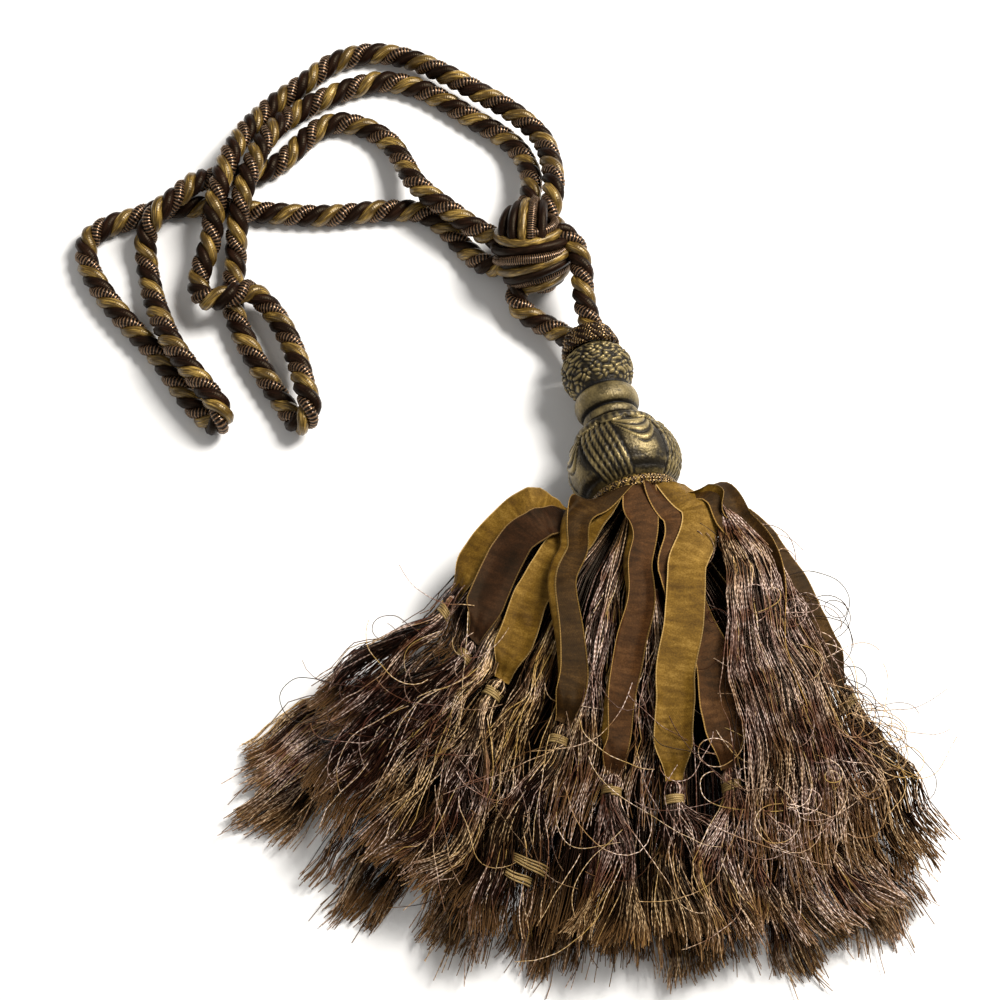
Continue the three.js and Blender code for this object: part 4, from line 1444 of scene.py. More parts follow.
@dataclass
class Fan:
    """How the skirt spreads from the head's base: its bell, its pile and its layers."""

    frame: HeadFrame
    middle: float = -9.0
    half: float = 47.0
    spread_reach: float = 70.0
    edge_drop: float = 0.22
    root_gap: float = 0.9
    upper_band: float = 10.4
    lower_band: float = 9.4
    pile: tuple[tuple[float, float], ...] = ((0, 47), (45, 53), (102, 48), (162, 39), (232, 31))
    bell: tuple[tuple[float, float, float], ...] = (
        (0, 1, 1), (20, 1.21, 1.38), (42, 1.41, 1.6), (60, 1.35, 1.56), (85, 1.17, 1.42), (110, 1, 1.25),
        (150, 0.98, 1.1), (190, 1, 1), (240, 1, 1),
    )

    def bearing(self, reach: Array, bearing: Array) -> Array:
        """Gives a strand's bearing at a distance from the head, in degrees.

        Args:
            reach: Distance from the head.
            bearing: Bearing before the swing, in degrees.

        Returns:
            Bearing after it.
        """
        at, left, right = np.array(self.bell, float).T
        swing = np.where(bearing < self.middle, np.interp(reach, at, left), np.interp(reach, at, right))
        return self.middle + (bearing - self.middle) * swing

    def pile_top(self, reach: Array, bearing: Array) -> Array:
        """Gives the pile's height over the table.

        Args:
            reach: Distance from the head.
            bearing: Bearing in degrees.

        Returns:
            Height in millimetres.
        """
        edge = (bearing - self.middle) / self.half
        drop = 1 - self.edge_drop * edge * edge * ease(reach, 0, self.spread_reach)
        return np.interp(reach, *np.array(self.pile, float).T) * drop

    def heading(self, bearing: Array) -> Array:
        """Gives the level direction of a bearing."""
        turn = np.radians(bearing)
        return np.stack([np.sin(turn), -np.cos(turn), np.zeros_like(turn)], axis=-1)

    def sideways(self, bearing: Array) -> Array:
        """Gives the level direction across a bearing."""
        return self.heading(bearing + 90)

    def strand(self, root_x: Array, root_y: Array, bearing: Array, reach: Array, height: Array) -> Array:
        """Gives points of strands that leave the head's base and settle into the fan.

        Args:
            root_x: Root's place to the right, in millimetres.
            root_y: Root's place upwards.
            bearing: Bearing in degrees.
            reach: Distance from the head.
            height: Height over the table once settled.

        Returns:
            Points in millimetres.
        """
        root_x, root_y, bearing, reach, height = np.broadcast_arrays(root_x, root_y, bearing, reach, height)
        settle = ease(reach, 0, self.spread_reach)
        root = self.frame.base - self.root_gap * self.frame.axis
        offset = root_x[..., None] * self.frame.side + root_y[..., None] * self.frame.rise
        point = root + (1 - settle)[..., None] * offset
        point = point + reach[..., None] * self.heading(self.bearing(reach, bearing))
        point[..., 2] = blend(root[2] + offset[..., 2], height, settle)
        return point


@dataclass
class Ribbons:
    """Ribbons in two layers, each gathered at its root and into its small tassel."""

    fan: Fan
    width: float = 18.0
    root_width: float = 17.0
    end_width: float = 8.0
    thickness: float = 0.34
    widen_reach: float = 22.0
    gather: float = 16.0
    dip: float = 4.2
    dip_reach: float = 9.0
    layer_gap: float = 2.7
    ring: float = 19.0
    root_arc: float = 56.0
    step: float = 2.2
    columns: int = 21
    finishes: dict[Tone, Material] = field(default_factory=dict)

    def place(self, rows: Sequence[RibbonRow], index: int, outer: int, upper: bool, reach: Array) -> Array:
        """Gives the middle line of a ribbon in its layer.

        Args:
            rows: Rows of the layer.
            index: Number of the ribbon.
            outer: 1 for the outer of the layer's two sheets.
            upper: Whether the layer lies on the pile.
            reach: Distances from the head.

        Returns:
            Points in millimetres.
        """
        row = rows[index]
        even = blend(-self.root_arc, self.root_arc, index / (len(rows) - 1))
        arc = math.radians(row.leave[0] if upper else even)
        radius = self.ring + outer * self.layer_gap + row.tier
        under = (1 - outer) * self.layer_gap
        low = np.full(len(reach), 0.5 + under)
        height = self.fan.pile_top(reach, row.bearing) - under if upper else low
        root_y = radius * math.cos(arc) * (1 if upper else -1)
        return self.fan.strand(radius * math.sin(arc), root_y, row.bearing_at(reach), reach, height)

    def section(
        self, width: Array, curl: Array, wave: Array, hug: Array
    ) -> tuple[Array, Array, Array, Array]:
        """Bends the ribbon's cross section without stretching it.

        Args:
            width: Width at each station.
            curl: Turn of the two edges at each station, in radians, left and right.
            wave: Height of the pleats at each station.
            hug: How far the edges turn down round what the ribbon lies on, in radians.

        Returns:
            Place across, height, and the slope's cosine and sine at each point.
        """
        share = np.linspace(-1, 1, self.columns)
        left = ease(-share, 0.32, 0.66) * curl[:, :1]
        right = ease(share, 0.32, 0.66) * curl[:, 1:]
        pleat = wave[:, None] * np.cos(share * math.pi * 2.5)
        angle = right - left + pleat - share * hug[:, None]
        middle = self.columns // 2
        step = width[:, None] / (self.columns - 1)
        mean = (angle[:, 1:] + angle[:, :-1]) / 2
        across = np.concatenate([np.zeros((len(width), 1)), np.cumsum(np.cos(mean) * step, axis=1)], axis=1)
        height = np.concatenate([np.zeros((len(width), 1)), np.cumsum(np.sin(mean) * step, axis=1)], axis=1)
        across -= across[:, middle : middle + 1] + 0.08 * width[:, None] * (curl[:, :1] - curl[:, 1:])
        height -= height[:, middle : middle + 1]
        return across, height, np.cos(angle), np.sin(angle)

    def creases(self, reach: Array, width: Array, length: float, index: int) -> Array:
        """Gives the height of the creases on one ribbon.

        Args:
            reach: Stations along it.
            width: Width at each station.
            length: Its length.
            index: Number of the ribbon, which shifts and turns its creases.

        Returns:
            Height at each point.
        """
        across = np.linspace(-0.5, 0.5, self.columns)[None, :] * width[:, None]
        total = np.zeros_like(across)
        for number, (at, slant, wide, high) in enumerate(CREASES):
            shift = 0.05 * math.sin(2.3 * index + number)
            lean = slant * (-1) ** (index + number)
            off = reach[:, None] - (at + shift) * length - lean * across
            total += high * math.cos(1.1 * index + 2 * number) * np.exp(-((off / wide) ** 2))
        return 0.75 * total * ease(reach, 6, 20)[:, None]

    def shape(self, rows: Sequence[RibbonRow], index: int, upper: bool) -> tuple[Array, Array, float]:
        """Lays one ribbon in its layer.

        Args:
            rows: Rows of the layer.
            index: Number of the ribbon.
            upper: Whether the layer lies on the pile.

        Returns:
            Points of its top and underside, its stations, and the length of its middle line.
        """
        row, outer, last = rows[index], index % 2, len(rows) - 1
        reach = np.linspace(0, row.length, round(row.length / self.step) + 1)
        centre = self.place(rows, index, outer, upper, reach)
        ahead = self.place(rows, index, outer, upper, reach + 1)
        leave, gather = ease(reach, 0, 25), ease(reach, row.length - self.gather, row.length)
        along = blend(-self.fan.frame.axis, ahead - centre, leave[:, None])
        heading = self.fan.heading(self.fan.bearing(reach, row.bearing))
        along = unit(blend(along, heading, gather[:, None]))
        across = self.place(rows, min(index + 1, last), outer, upper, reach)
        across = across - self.place(rows, max(index - 1, 0), outer, upper, reach)
        across = unit(across - (across * along).sum(1, keepdims=True) * along)
        free = ease(reach, self.fan.spread_reach / 2, row.length)
        phase = 1.7 * index + (0.9 if upper else 0.0)
        loose = ease(reach, 8, 40) * (1.0 if upper else 0.25)
        roll = outer * math.radians(row.roll) * free + 0.06 * np.sin(reach / 17.0 + phase) * loose
        turned = np.cos(roll)[:, None] * across + np.sin(roll)[:, None] * np.cross(along, across)
        full = blend(self.root_width, self.width, ease(reach, 0, self.widen_reach))
        width = blend(full, self.end_width, gather)
        if upper:
            drop = self.dip * ease(reach, row.length - self.dip_reach, row.length)
            centre[:, 2] += (width / 2) * np.abs(np.sin(roll)) - drop
            centre[:, 2] += 0.5 * np.sin(reach / 12.0 + 1.3 * phase) * loose
            ripple = 0.45 * np.sin(reach / 9.0 + phase) + 0.35 * np.sin(reach / 5.1 + 2 * phase)
            centre += (ripple * loose * (1 - gather))[:, None] * across
        normal = np.cross(along, turned)
        lift = (0.26 if upper else 0.12) * loose * (1 - gather)
        wave = np.stack([np.sin(reach / 23.0 + phase), np.sin(reach / 19.0 + 2.1 * phase + 1)], axis=1)
        rolled = (ease(reach, 2, 32) * (1 - gather))[:, None] * np.array(row.hems)
        curl = lift[:, None] * wave + rolled * (0.82 + 0.18 * wave)
        pleat = 0.16 * (1 - ease(reach, 0, 22)) + 0.5 * gather
        hug = (width / 2 / self.ring) * (1 - ease(reach, 12, 60))
        x, height, cosine, sine = self.section(width, curl, pleat, hug)
        if upper:
            height = height + self.creases(reach, width, row.length, index)
        face = np.array([0.5, -0.5])[:, None, None] * self.thickness
        out, up = x - face * sine, height + face * cosine
        points = centre[:, None] + out[..., None] * turned[:, None] + up[..., None] * normal[:, None]
        points[..., 2] = np.maximum(points[..., 2], 0.05)
        return points, reach, float(np.linalg.norm(np.diff(centre, axis=0), axis=1).sum())

    def build_one(self, rows: Sequence[RibbonRow], index: int, upper: bool) -> None:
        """Makes one ribbon and puts it on its body.

        Args:
            rows: Rows of the layer.
            index: Number of the ribbon.
            upper: Whether the layer lies on the pile.
        """
        row = rows[index]
        points, reach, length = self.shape(rows, index, upper)
        grid = points.shape[:3]
        marks = {
            "across": np.broadcast_to(np.linspace(-1, 1, self.columns), grid).ravel(),
            "along": np.broadcast_to(reach[:, None] * MM, grid).ravel(),
        }
        front = row.face or row.tone
        back = Tone.BROWN if front is Tone.GOLD else Tone.GOLD
        silks = self.finishes[front], self.finishes[back]
        name = f"ribbon_{'upper' if upper else 'lower'}_{index + 1:02d}"
        piece = surface(f"{name}_silk", points.reshape(-1, 3), self.faces(*grid[1:]), marks, *silks)
        sides = np.zeros(len(piece.data.polygons), np.int32)
        quads = (grid[1] - 1) * (grid[2] - 1)
        sides[quads : 2 * quads] = 1
        piece.data.polygons.foreach_set("material_index", sides)
        dress(piece, row.tone.value, name)

    def faces(self, rows: int, columns: int) -> list[tuple[int, ...]]:
        """Faces of a closed thin sheet: its top, its underside, then its edge.

        Args:
            rows: Stations along the sheet.
            columns: Points across the sheet.

        Returns:
            Faces.
        """
        size = rows * columns
        grid = [(i * columns + j, (i + 1) * columns + j) for i in range(rows - 1) for j in range(columns - 1)]
        top = [(a, b, b + 1, a + 1) for a, b in grid]
        under = [(a + 1 + size, b + 1 + size, b + size, a + size) for a, b in grid]
        first = [i * columns for i in range(rows)]
        rim = first[::-1] + list(range(1, columns)) + [i + columns - 1 for i in first[1:]]
        rim += list(range(size - 2, size - columns, -1))
        edge = [(b, a, a + size, b + size) for a, b in zip(rim, rim[1:] + rim[:1])]
        return top + under + edge

    def build(self) -> None:
        """Makes every ribbon."""
        self.finishes = {tone: finish.material() for tone, finish in RIBBON_FINISHES.items()}
        for rows, upper in LAYERS:
            for index in range(len(rows)):
                self.build_one(rows, index, upper)


@dataclass
class Fringe:
    """Threads of the skirt, the small tassels and their bound necks, and the stray curls."""

    fan: Fan
    seed: int = 11
    radius: float = 0.33
    crimp: float = 10.0
    crimp_size: float = 18.0
    sway: float = 26.0
    sway_size: float = 48.0
    skirt_count: int = 950
    tassel_count: int = 195
    tassel_locks: int = 8
    curl_count: int = 95
    curl_steps: int = 34
    loose_count: int = 85
    loose_steps: int = 16
    tangle_count: int = 58
    low_band: tuple[float, float] = (-17.2, 178.0)
    low_turns: tuple[tuple[float, float, float], ...] = ((9.4, 0.8, 0.8), (8.4, -3.4, 0.62))
    binding_radius: float = 0.62
    neck_gap: float = 0.3
    neck_radius: float = 4.8
    neck: tuple[tuple[float, float], ...] = (
        (0, 1.7), (1.2, 3.3), (3.2, 4.7), (5, 4.6), (6.6, 3.6), (8.6, 3.6), (11, 4.3), (16, 4.8)
    )
    core_half: float = 11.5
    core_rise: float = 6.0
    skirt_reach: float = 207.0
    edge_short: float = 26.0

    def __post_init__(self) -> None:
        """Starts the fixed run of random numbers."""
        self.random = np.random.default_rng(self.seed)

    def tones(self, place: Array, base: float) -> Array:
        """Draws a colour number for each thread, so that neighbours go in bundles."""
        bundle = 0.16 * np.sin(9.0 * place + 1.3) + 0.12 * np.sin(23.0 * place + 4.0)
        return np.clip(base + bundle + self.random.normal(0, 0.26, len(place)), 0, 1)

    def skirt_lines(self) -> list[Line]:
        """Lays the long threads between the ribbon layers.

        Returns:
            One line for each thread.
        """
        random, fan, count = self.random, self.fan, self.skirt_count
        place = random.uniform(-1, 1, count)
        bearing = fan.middle + 0.93 * fan.half * place + random.normal(0, 1.5, count)
        level = random.beta(1.5, 0.8, count)
        tip = self.skirt_reach - self.edge_short * place**2 + random.normal(0, 6, count)
        wander, phase = random.normal(0, 1.6, count), random.uniform(0, TURN, count)
        part = np.linspace(0.02, 1, 15)[None, :]
        reach = tip[:, None] * part
        swung = bearing[:, None] + wander[:, None] * np.sin(3.2 * part + phase[:, None]) * part
        room = fan.pile_top(reach, bearing[:, None]) - fan.lower_band * 0.6 - fan.upper_band * 0.95
        height = fan.lower_band * 0.6 + level[:, None] * room
        root_y = self.core_rise * (2 * level[:, None] - 1)
        points = fan.strand(self.core_half * place[:, None], root_y, swung, reach, height)
        droop = 5.0 * random.uniform(0, 1, count)[:, None] * ease(part, 0.75, 1.0)
        points[..., 2] = np.maximum(points[..., 2] - droop, 0.4)
        # Painted shade: the bed threads under the ribbons get dark tones, near black, standing for the shade
        # between the layers.
        return self.lines(points, part, 3 * place, base=0.16)

    def lines(
        self, points: Array, part: Array, place: Array,
        size: float = 1.0, base: float = 0.42, hold: float = 0.0,
    ) -> list[Line]:
        """Gives each thread its tone, free share and taper.

        Args:
            points: Points of the threads in millimetres.
            part: Share of the way from root to tip.
            place: Where each thread lies across its group.
            size: Thickness against the usual thread.
            base: Middle of their colour numbers.
            hold: Share of the way over which they are bound fast.

        Returns:
            One line for each thread.
        """
        free, cut = ease(part, hold, hold + 0.35).ravel(), ease(part, 0.84, 1.0).ravel()
        taper = size * blend(1.0, 0.75, part.ravel())
        metres = to_metres(points)
        return [
            Line(row, {"tone": tone, "free": free, "size": taper, "cut": cut})
            for row, tone in zip(metres, self.tones(place, base))
        ]

    def tassel_floor(self, row: RibbonRow, upper: bool, reach: Array, across: Array) -> Array:
        """Gives the height that a small tassel lies on.

        Args:
            row: Ribbon that carries it.
            upper: Whether it lies on the pile.
            reach: Distance from the head.
            across: Distance from the tassel's middle line.

        Returns:
            Height in millimetres.
        """
        if not upper:
            return np.zeros(np.broadcast(reach, across).shape)
        bearing = row.bearing + np.degrees(across / reach)
        return self.fan.pile_top(reach, bearing) - self.fan.upper_band

    def tassel_lines(self, row: RibbonRow, upper: bool) -> list[Line]:
        """Lays the threads of one small tassel.

        Args:
            row: Ribbon that carries it.
            upper: Whether it lies on the pile.

        Returns:
            One line for each thread.
        """
        random, fan, count, locks = self.random, self.fan, self.tassel_count, self.tassel_locks
        start = row.length + 0.4
        lock = random.integers(0, locks, count)
        middle = np.linspace(-0.43, 0.43, locks) + random.normal(0, 0.04, locks)
        across = np.clip(middle[lock] + random.normal(0, 0.055, count), -0.5, 0.5)
        lift = np.clip(random.uniform(0.1, 0.95, locks)[lock] + random.normal(0, 0.2, count), 0, 1)
        long = np.where(random.uniform(0, 1, count) < 0.05, random.uniform(3, 12, count), 0.0)
        tip = row.reach + random.normal(0, 2.4, locks)[lock] + random.normal(0, 1.6, count)
        tip = tip - 12 * across**2 + long
        tame = 0.5 if abs(row.bearing - fan.middle) > 40 else 1.0
        swerve = tame * (random.normal(0, 5.0) + random.normal(0, 4.0, locks)[lock][:, None])
        bow = tame * (random.normal(0, 5.0) + random.normal(0, 4.5, locks)[lock][:, None])
        angle, depth = random.uniform(0, TURN, count)[:, None], random.uniform(0.7, 1, count)[:, None]
        part = np.concatenate([np.linspace(0, 0.13, 6), np.linspace(0.19, 1, 11)])[None, :]
        reach = blend(start, tip[:, None], part)
        ring = depth * np.interp(reach - start, *np.array(self.neck, float).T)
        open_ = ease(part, 0.11, 0.7)
        slot = 2 * reach * math.tan(math.radians(row.slot / 2))
        stray = random.normal(0, 2.0, count)[:, None] * ease(part, 0.45, 1.0)
        offset = blend(ring * np.cos(angle), 0.9 * across[:, None] * slot, open_)
        offset = offset + swerve * part**2 + bow * np.sin(math.pi * part) * ease(part, 0.1, 0.4) + stray
        neck = self.neck_radius * math.cos(math.pi / 6)
        high = blend(neck + ring * np.sin(angle), 0.4 + 7.6 * lift[:, None], open_)
        puff = 2.2 * np.sin(math.pi * part) * lift[:, None] * ease(part, 0.1, 0.3)
        ground = self.tassel_floor(row, upper, reach, offset)
        points = fan.strand(0.0, 0.0, row.bearing, reach, ground + high + puff)
        side = fan.sideways(fan.bearing(reach, row.bearing))
        points = points + offset[..., None] * side
        points[..., 2] = np.maximum(points[..., 2], 0.4)
        # Painted shade: tassels on the fan's left get darker tones.
        shaded = 0.1 * float(ease(-row.bearing, 14, 34))
        base = 0.47 - shaded + random.normal(0, 0.09)
        return self.lines(points, part, across + row.bearing, base=base, hold=0.12)

    def over_lines(self) -> list[Line]:
        """Lays the locks that show between the ribbons and over them.

        Returns:
            One line for each thread.
        """
        random, fan = self.random, self.fan
        part = np.linspace(0, 1, 20)[None, :]
        lines = []
        for bearing, spread, count, start, end, lift, near, mid in OVER_LOCKS:
            place = np.clip(random.normal(0, 0.55, count), -1.1, 1.1)[:, None]
            tip = end + random.normal(0, 9, count)
            reach = blend(start, tip[:, None], part)
            waves = random.uniform(4, 9, count)[:, None]
            bend = 1.3 * np.sin(waves * part + random.uniform(0, TURN, count)[:, None])
            drift = random.normal(0, 3.4, count)[:, None] * part + bend * ease(part, 0, 0.3)
            early = blend(near, mid, ease(reach, 14, 44)) * (1 - ease(reach, 50, 100))
            swung = bearing + spread * place + drift + early
            up = random.normal(0, 1.1, count)[:, None]
            tuck = 1 - ease(part, 0.02, 0.16 if start > 10 else 0.06)
            rise = blend(lift + up + 1.2 * np.sin(math.pi * part), -7.0, tuck)
            height = fan.pile_top(reach, swung) + rise - 5.0 * ease(reach, 120, 190)
            arc = np.radians(blend(-65, 65, np.clip((swung + 56) / 94, 0, 1)))
            ring = 20.0 + up + 0.6 * min(lift, 0.0) - 5.0 * tuck
            points = fan.strand(ring * np.sin(arc), ring * np.cos(arc), swung, reach, height)
            # Painted shade: the lock tucked deepest under the ribbons gets near-black threads.
            dark = 0.1 if lift < -7 else 0.55
            lines += self.lines(points, part, place.ravel() + bearing / 20, base=dark)
        return lines

    def stray_lines(
        self, bearing: Array, reach: Array, lean: Array, run: Array, bend: Array, heights: Array,
        size: float, base: float,
    ) -> list[Line]:
        """Walks free threads over the skirt with a slowly changing turn.

        Args:
            bearing: Bearing where each starts, in degrees.
            reach: Distance from the head where each starts.
            lean: Turn of its first step away from that bearing.
            run: Length of each.
            bend: Turn over the whole length, in degrees.
            heights: Height at each step.
            size: Thickness against the usual thread.
            base: Middle of their colour numbers.

        Returns:
            One line for each thread.
        """
        steps = heights.shape[1]
        part = np.linspace(0, 1, steps)
        place = self.fan.strand(0.0, 0.0, bearing, reach, heights[:, 0])
        turn = self.fan.bearing(reach, bearing) + lean
        points = [place]
        for share in part[1:]:
            turn = turn + bend / steps * (1 + 0.9 * np.sin(6 * share + bend))
            place = place + self.fan.heading(turn) * (run / steps)[:, None]
            points.append(place)
        stack = np.stack(points, axis=1)
        stack[..., 2] = np.maximum(heights, 0.4)
        return self.lines(stack, part[None, :], self.random.uniform(-9, 9, len(bearing)), size, base)

    def curl_lines(self) -> list[Line]:
        """Lays loose curls that stand away from the skirt.

        Returns:
            One line for each curl.
        """
        random, count = self.random, self.curl_count
        part = np.linspace(0, 1, self.curl_steps)[None, :]
        right = random.uniform(0, 1, count) < 0.66
        bearing = np.where(right, random.uniform(29, 38, count), random.uniform(-56, -42, count))
        reach = np.where(right, random.uniform(30, 150, count), random.uniform(90, 180, count))
        lean = np.where(right, random.normal(15, 35, count), random.normal(0, 40, count))
        bend = np.where(right, -1, 1) * random.uniform(90, 400, count)
        run = random.uniform(30, 75, count)
        high = self.fan.pile_top(reach, bearing)[:, None]
        heights = blend(high, 0.45 * high, part) + 5.0 * np.sin(math.pi * part)
        return self.stray_lines(bearing, reach, lean, run, bend, heights, 0.8, 0.36)

    def tangle_lines(self) -> list[Line]:
        """Lays the tight curls that lie tangled on the skirt's right side.

        Returns:
            One line for each curl.
        """
        random, count = self.random, self.tangle_count
        part = np.linspace(0, 1, self.curl_steps)[None, :]
        bearing, reach = random.uniform(15, 38, count), random.uniform(75, 168, count)
        high = self.fan.pile_top(reach, bearing) + random.uniform(1.0, 4.5, count)
        heights = high[:, None] + 3.0 * np.sin(math.pi * part) - 5.0 * part
        lean = random.normal(0, 45, count)
        bend = np.where(random.uniform(0, 1, count) < 0.7, -1, 1) * random.uniform(260, 720, count)
        run = random.uniform(45, 95, count)
        return self.stray_lines(bearing, reach, lean, run, bend, heights, 0.78, 0.7)

    def loose_lines(self) -> list[Line]:
        """Lays threads that have strayed across the top of the fringe.

        Returns:
            One line for each thread.
        """
        random, count = self.random, self.loose_count
        part = np.linspace(0, 1, self.loose_steps)[None, :]
        bearing = random.uniform(-50, 37, count)
        reach = random.uniform(88, 176, count)
        run = random.uniform(35, 80, count)
        over = self.fan.pile_top(reach[:, None] + 0.85 * run[:, None] * part, bearing[:, None])
        heights = over + random.uniform(0.6, 3.2, count)[:, None] + 1.5 * np.sin(math.pi * part)
        lean = random.normal(0, 26, count)
        bend = random.normal(0, 90, count)
        return self.stray_lines(bearing, reach, lean, run, bend, heights, 0.75, 0.62)

    def neck_centre(self, row: RibbonRow, upper: bool, reach: Array) -> Array:
        """Gives the middle line of a small tassel's neck."""
        floor = self.tassel_floor(row, upper, reach, np.zeros(len(reach)))
        return self.fan.strand(0.0, 0.0, row.bearing, reach, floor + self.neck_radius * 0.87)

    def necks(self, yarn: Material) -> Piece:
        """Makes the bulbs that gather each small tassel under its binding.

        Args:
            yarn: Finish of the thread.

        Returns:
            All the bulbs, as one piece.
        """
        outline = np.array(self.neck[:-1], float) * (1.0, 0.84)
        sides = 18
        angle = np.linspace(0, TURN, sides, endpoint=False)
        ring = outline[:, 1, None] * (1 + 0.05 * np.cos(9 * angle))
        bulb = ring_faces(len(outline), sides)
        points, faces, tones = [], [], []
        for row, upper in SMALL_TASSELS:
            reach = row.length + self.neck_gap + outline[:, 0]
            side = self.fan.sideways(self.fan.bearing(reach[0], row.bearing))
            skin = self.neck_centre(row, upper, reach)[:, None] + (ring * np.cos(angle))[..., None] * side
            skin[..., 2] += ring * np.sin(angle)
            base = len(points) * (ring.size + 2)
            points.append(np.vstack([skin.reshape(-1, 3), skin[0].mean(0), skin[-1].mean(0)]))
            faces += [tuple(base + corner for corner in face) for face in bulb]
            # Painted shade: the bulbs under the gathered threads get dark tones, near black.
            shade = np.tile(self.random.uniform(0.0, 0.3, sides), len(outline))
            tones.append(np.concatenate([shade, [0.5, 0.5]]))
        skins = np.vstack(points)
        plain = np.zeros(len(skins))
        marks = {"tone": np.concatenate(tones), "along": plain, "cut": plain}
        return surface("tassel_necks", skins, faces, marks, yarn)

    def binding_lines(self) -> list[Line]:
        """Winds the gold thread round each small tassel's neck.

        Returns:
            One line for each binding.
        """
        lines = []
        share = np.linspace(0, 1, 84)
        for row, upper in SMALL_TASSELS:
            reach = row.length + self.neck_gap + blend(5.6, 9.4, share)
            side = self.fan.sideways(self.fan.bearing(reach, row.bearing))
            turn = TURN * 4 * share + self.random.uniform(0, TURN)
            waist = 4.0 + 0.15 * np.sin(2.3 * turn)
            line = self.neck_centre(row, upper, reach) + (waist * np.cos(turn))[:, None] * side
            line[:, 2] += waist * np.sin(turn)
            lines.append(ply_line(line, Ply.GOLD))
        return lines

    def low_band_lines(self) -> list[Line]:
        """Lays the two loose bands that bind one small tassel again, low in the fringe.

        Returns:
            One line for each turn that shows.
        """
        fan, lines = self.fan, []
        bearing, first = self.low_band
        across = np.linspace(-1, 1, 30)
        bow = 2.0 * (1 - across**2) - 7.0 * across**4
        for band, (half, shift, pitch) in enumerate(self.low_turns):
            for turn in range(5):
                stray = self.random.normal(0, 0.15, 4)
                sag = (1.5 + 0.9 * band + stray[0]) * (1 - across**2)
                reach = first + 6.2 * band + pitch * turn * (1 + 0.3 * across) + stray[1]
                reach = reach + (1.0 + stray[2]) * across + sag
                height = fan.pile_top(reach, bearing) - 4.6 + stray[3] + bow
                line = fan.strand(0.0, 0.0, bearing, reach, height)
                line = line + (half * across + shift)[:, None] * fan.sideways(fan.bearing(reach, bearing))
                lines.append(ply_line(line, Ply.GOLD, size=0.7))
        return lines

    def build(self, threads: ThreadTree, plies: PlyTree, rope: RopeWork) -> None:
        """Makes the threads, the bound necks and the curls.

        Args:
            threads: Tree that crimps and sweeps threads.
            plies: Tree that sweeps plies.
            rope: Rope whose satin the bindings share.
        """
        yarn = YARN.material()
        values = {
            "Radius": self.radius * MM, "Crimp Size": self.crimp_size * MM, "Sway Size": self.sway_size * MM,
            "Yarn": yarn,
        }
        upper = [line for row in UPPER_RIBBONS for line in self.tassel_lines(row, True)]
        lower = [line for row in LOWER_RIBBONS for line in self.tassel_lines(row, False)]
        groups = (
            ("skirt_threads", self.skirt_lines(), 0.45, ["thread_skirt"]),
            ("fringe_upper", upper, 1.0, [f"tassel_upper_{n + 1:02d}" for n in range(len(UPPER_RIBBONS))]),
            ("fringe_lower", lower, 1.0, [f"tassel_lower_{n + 1:02d}" for n in range(len(LOWER_RIBBONS))]),
            ("over_locks", self.over_lines(), 0.8, []),
            ("stray_curls", self.curl_lines() + self.loose_lines() + self.tangle_lines(), 0.4, []),
        )
        for number, (name, lines, wild, nodes) in enumerate(groups):
            free = {"Crimp": wild * self.crimp * MM, "Sway": wild * self.sway * MM, "Seed": 3.0 * number}
            dress(threads.sweep(line_object(name, lines), {**values, **free}), "thread", *nodes)
        dress(self.necks(yarn), "thread")
        sizes = {
            "Offset": 0.0, "Radius": self.binding_radius * MM, "Lay": MM, "Sides": 6,
            "Ridge Pitch": MM, "Ridge Depth": 0.0,
        }
        paints = {**rope.materials, "Gold": BINDING.material()}
        bands = self.binding_lines() + self.low_band_lines()
        dress(plies.sweep(line_object("neck_bindings", bands), {**sizes, **paints}), "cord")


@dataclass(frozen=True)
class Lamp:
    """Soft square lamp that faces the tieback.

    Attributes:
        place: Where it hangs, in metres.
        size: Side of its square.
        power: Power in watts.
    """

    name: str
    place: tuple[float, float, float]
    size: float
    power: float
    colour: Colour

    def hang(self) -> None:
        """Adds the lamp to the scene."""
        data = bpy.data.lights.new(self.name, "AREA")
        data.size, data.energy, data.color = self.size, self.power, self.colour
        lamp = bpy.data.objects.new(self.name, data)
        lamp.location = self.place
        lamp.rotation_euler = (-Vector(self.place)).to_track_quat("-Z", "Y").to_euler()
        bpy.context.scene.collection.objects.link(lamp)


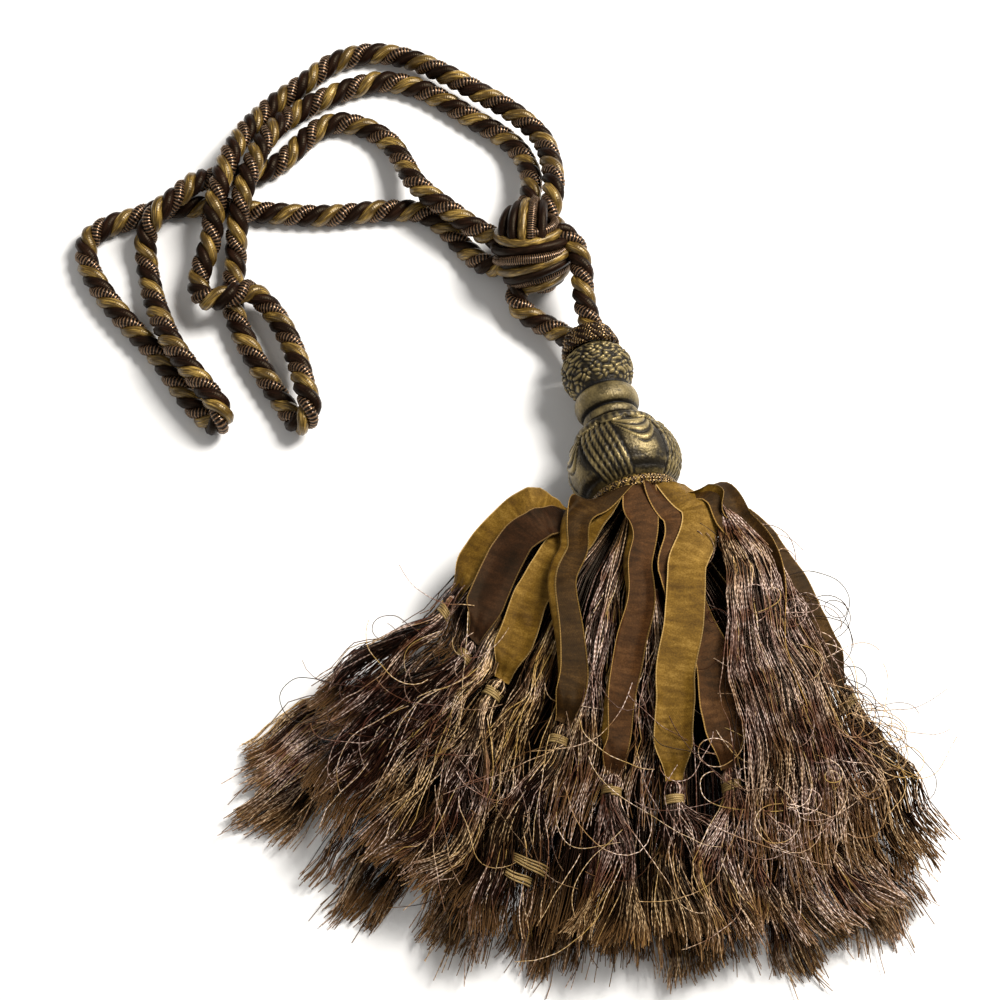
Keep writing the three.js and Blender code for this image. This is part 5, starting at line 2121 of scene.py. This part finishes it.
LAMPS = (
    Lamp("key", (0.7, 0.35, 1.05), 0.5, 31.0, (1.0, 0.97, 0.93)),
    Lamp("fill", (-0.9, -0.6, 1.2), 1.0, 3.0, (1.0, 0.98, 0.96)),
)


@dataclass
class Studio:
    """Pale table, soft light and the camera at the picture's angle."""

    eye: tuple[float, float, float] = (0.0107, -0.41316, 0.84377)
    aim: tuple[float, float, float] = (0.0107, -0.0197, 0.0)
    lens: float = 68.4
    floor_half: float = 6.0
    sky: tuple[float, float, float, float] = (1.0, 0.99, 0.97, 1.0)
    sky_strength: float = 0.26

    def camera(self) -> None:
        """Makes the scene's camera."""
        data = bpy.data.cameras.new("view")
        data.lens, data.sensor_width = self.lens, 36.0
        camera = bpy.data.objects.new("view", data)
        camera.location = self.eye
        camera.rotation_euler = (Vector(self.aim) - Vector(self.eye)).to_track_quat("-Z", "Y").to_euler()
        bpy.context.scene.collection.objects.link(camera)
        bpy.context.scene.camera = camera

    def table(self) -> None:
        """Makes the pale table top under the tieback."""
        half = self.floor_half
        corners = [(-half, -half, 0), (half, -half, 0), (half, half, 0), (-half, half, 0)]
        mesh = bpy.data.meshes.new("table")
        mesh.from_pydata(corners, [], [(0, 1, 2, 3)])
        mesh.materials.append(FLOOR.material())
        table = add_object("table", mesh)

    def build(self) -> None:
        """Makes the table, the lamps, the sky and the camera."""
        self.table()
        self.camera()
        for lamp in LAMPS:
            lamp.hang()
        world = bpy.data.worlds.new("studio")
        world.use_nodes = True
        background = world.node_tree.nodes["Background"].inputs
        background["Color"].default_value = self.sky
        background["Strength"].default_value = self.sky_strength
        bpy.context.scene.world = world
        bpy.context.scene.view_settings.view_transform = "Standard"


def main() -> None:
    """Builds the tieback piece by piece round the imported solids."""
    logging.basicConfig(level=logging.INFO, format="%(name)s %(message)s")
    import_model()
    Studio().build()
    plies, threads = PlyTree(), ThreadTree()
    rope = RopeWork()
    rope.build(plies)
    frame = HeadFrame()
    CarvedHead(frame).build()
    HeadCords(frame).build(plies, rope)
    fan = Fan(frame)
    Ribbons(fan).build()
    Fringe(fan).build(threads, plies, rope)


if __name__ == "__main__":
    main()
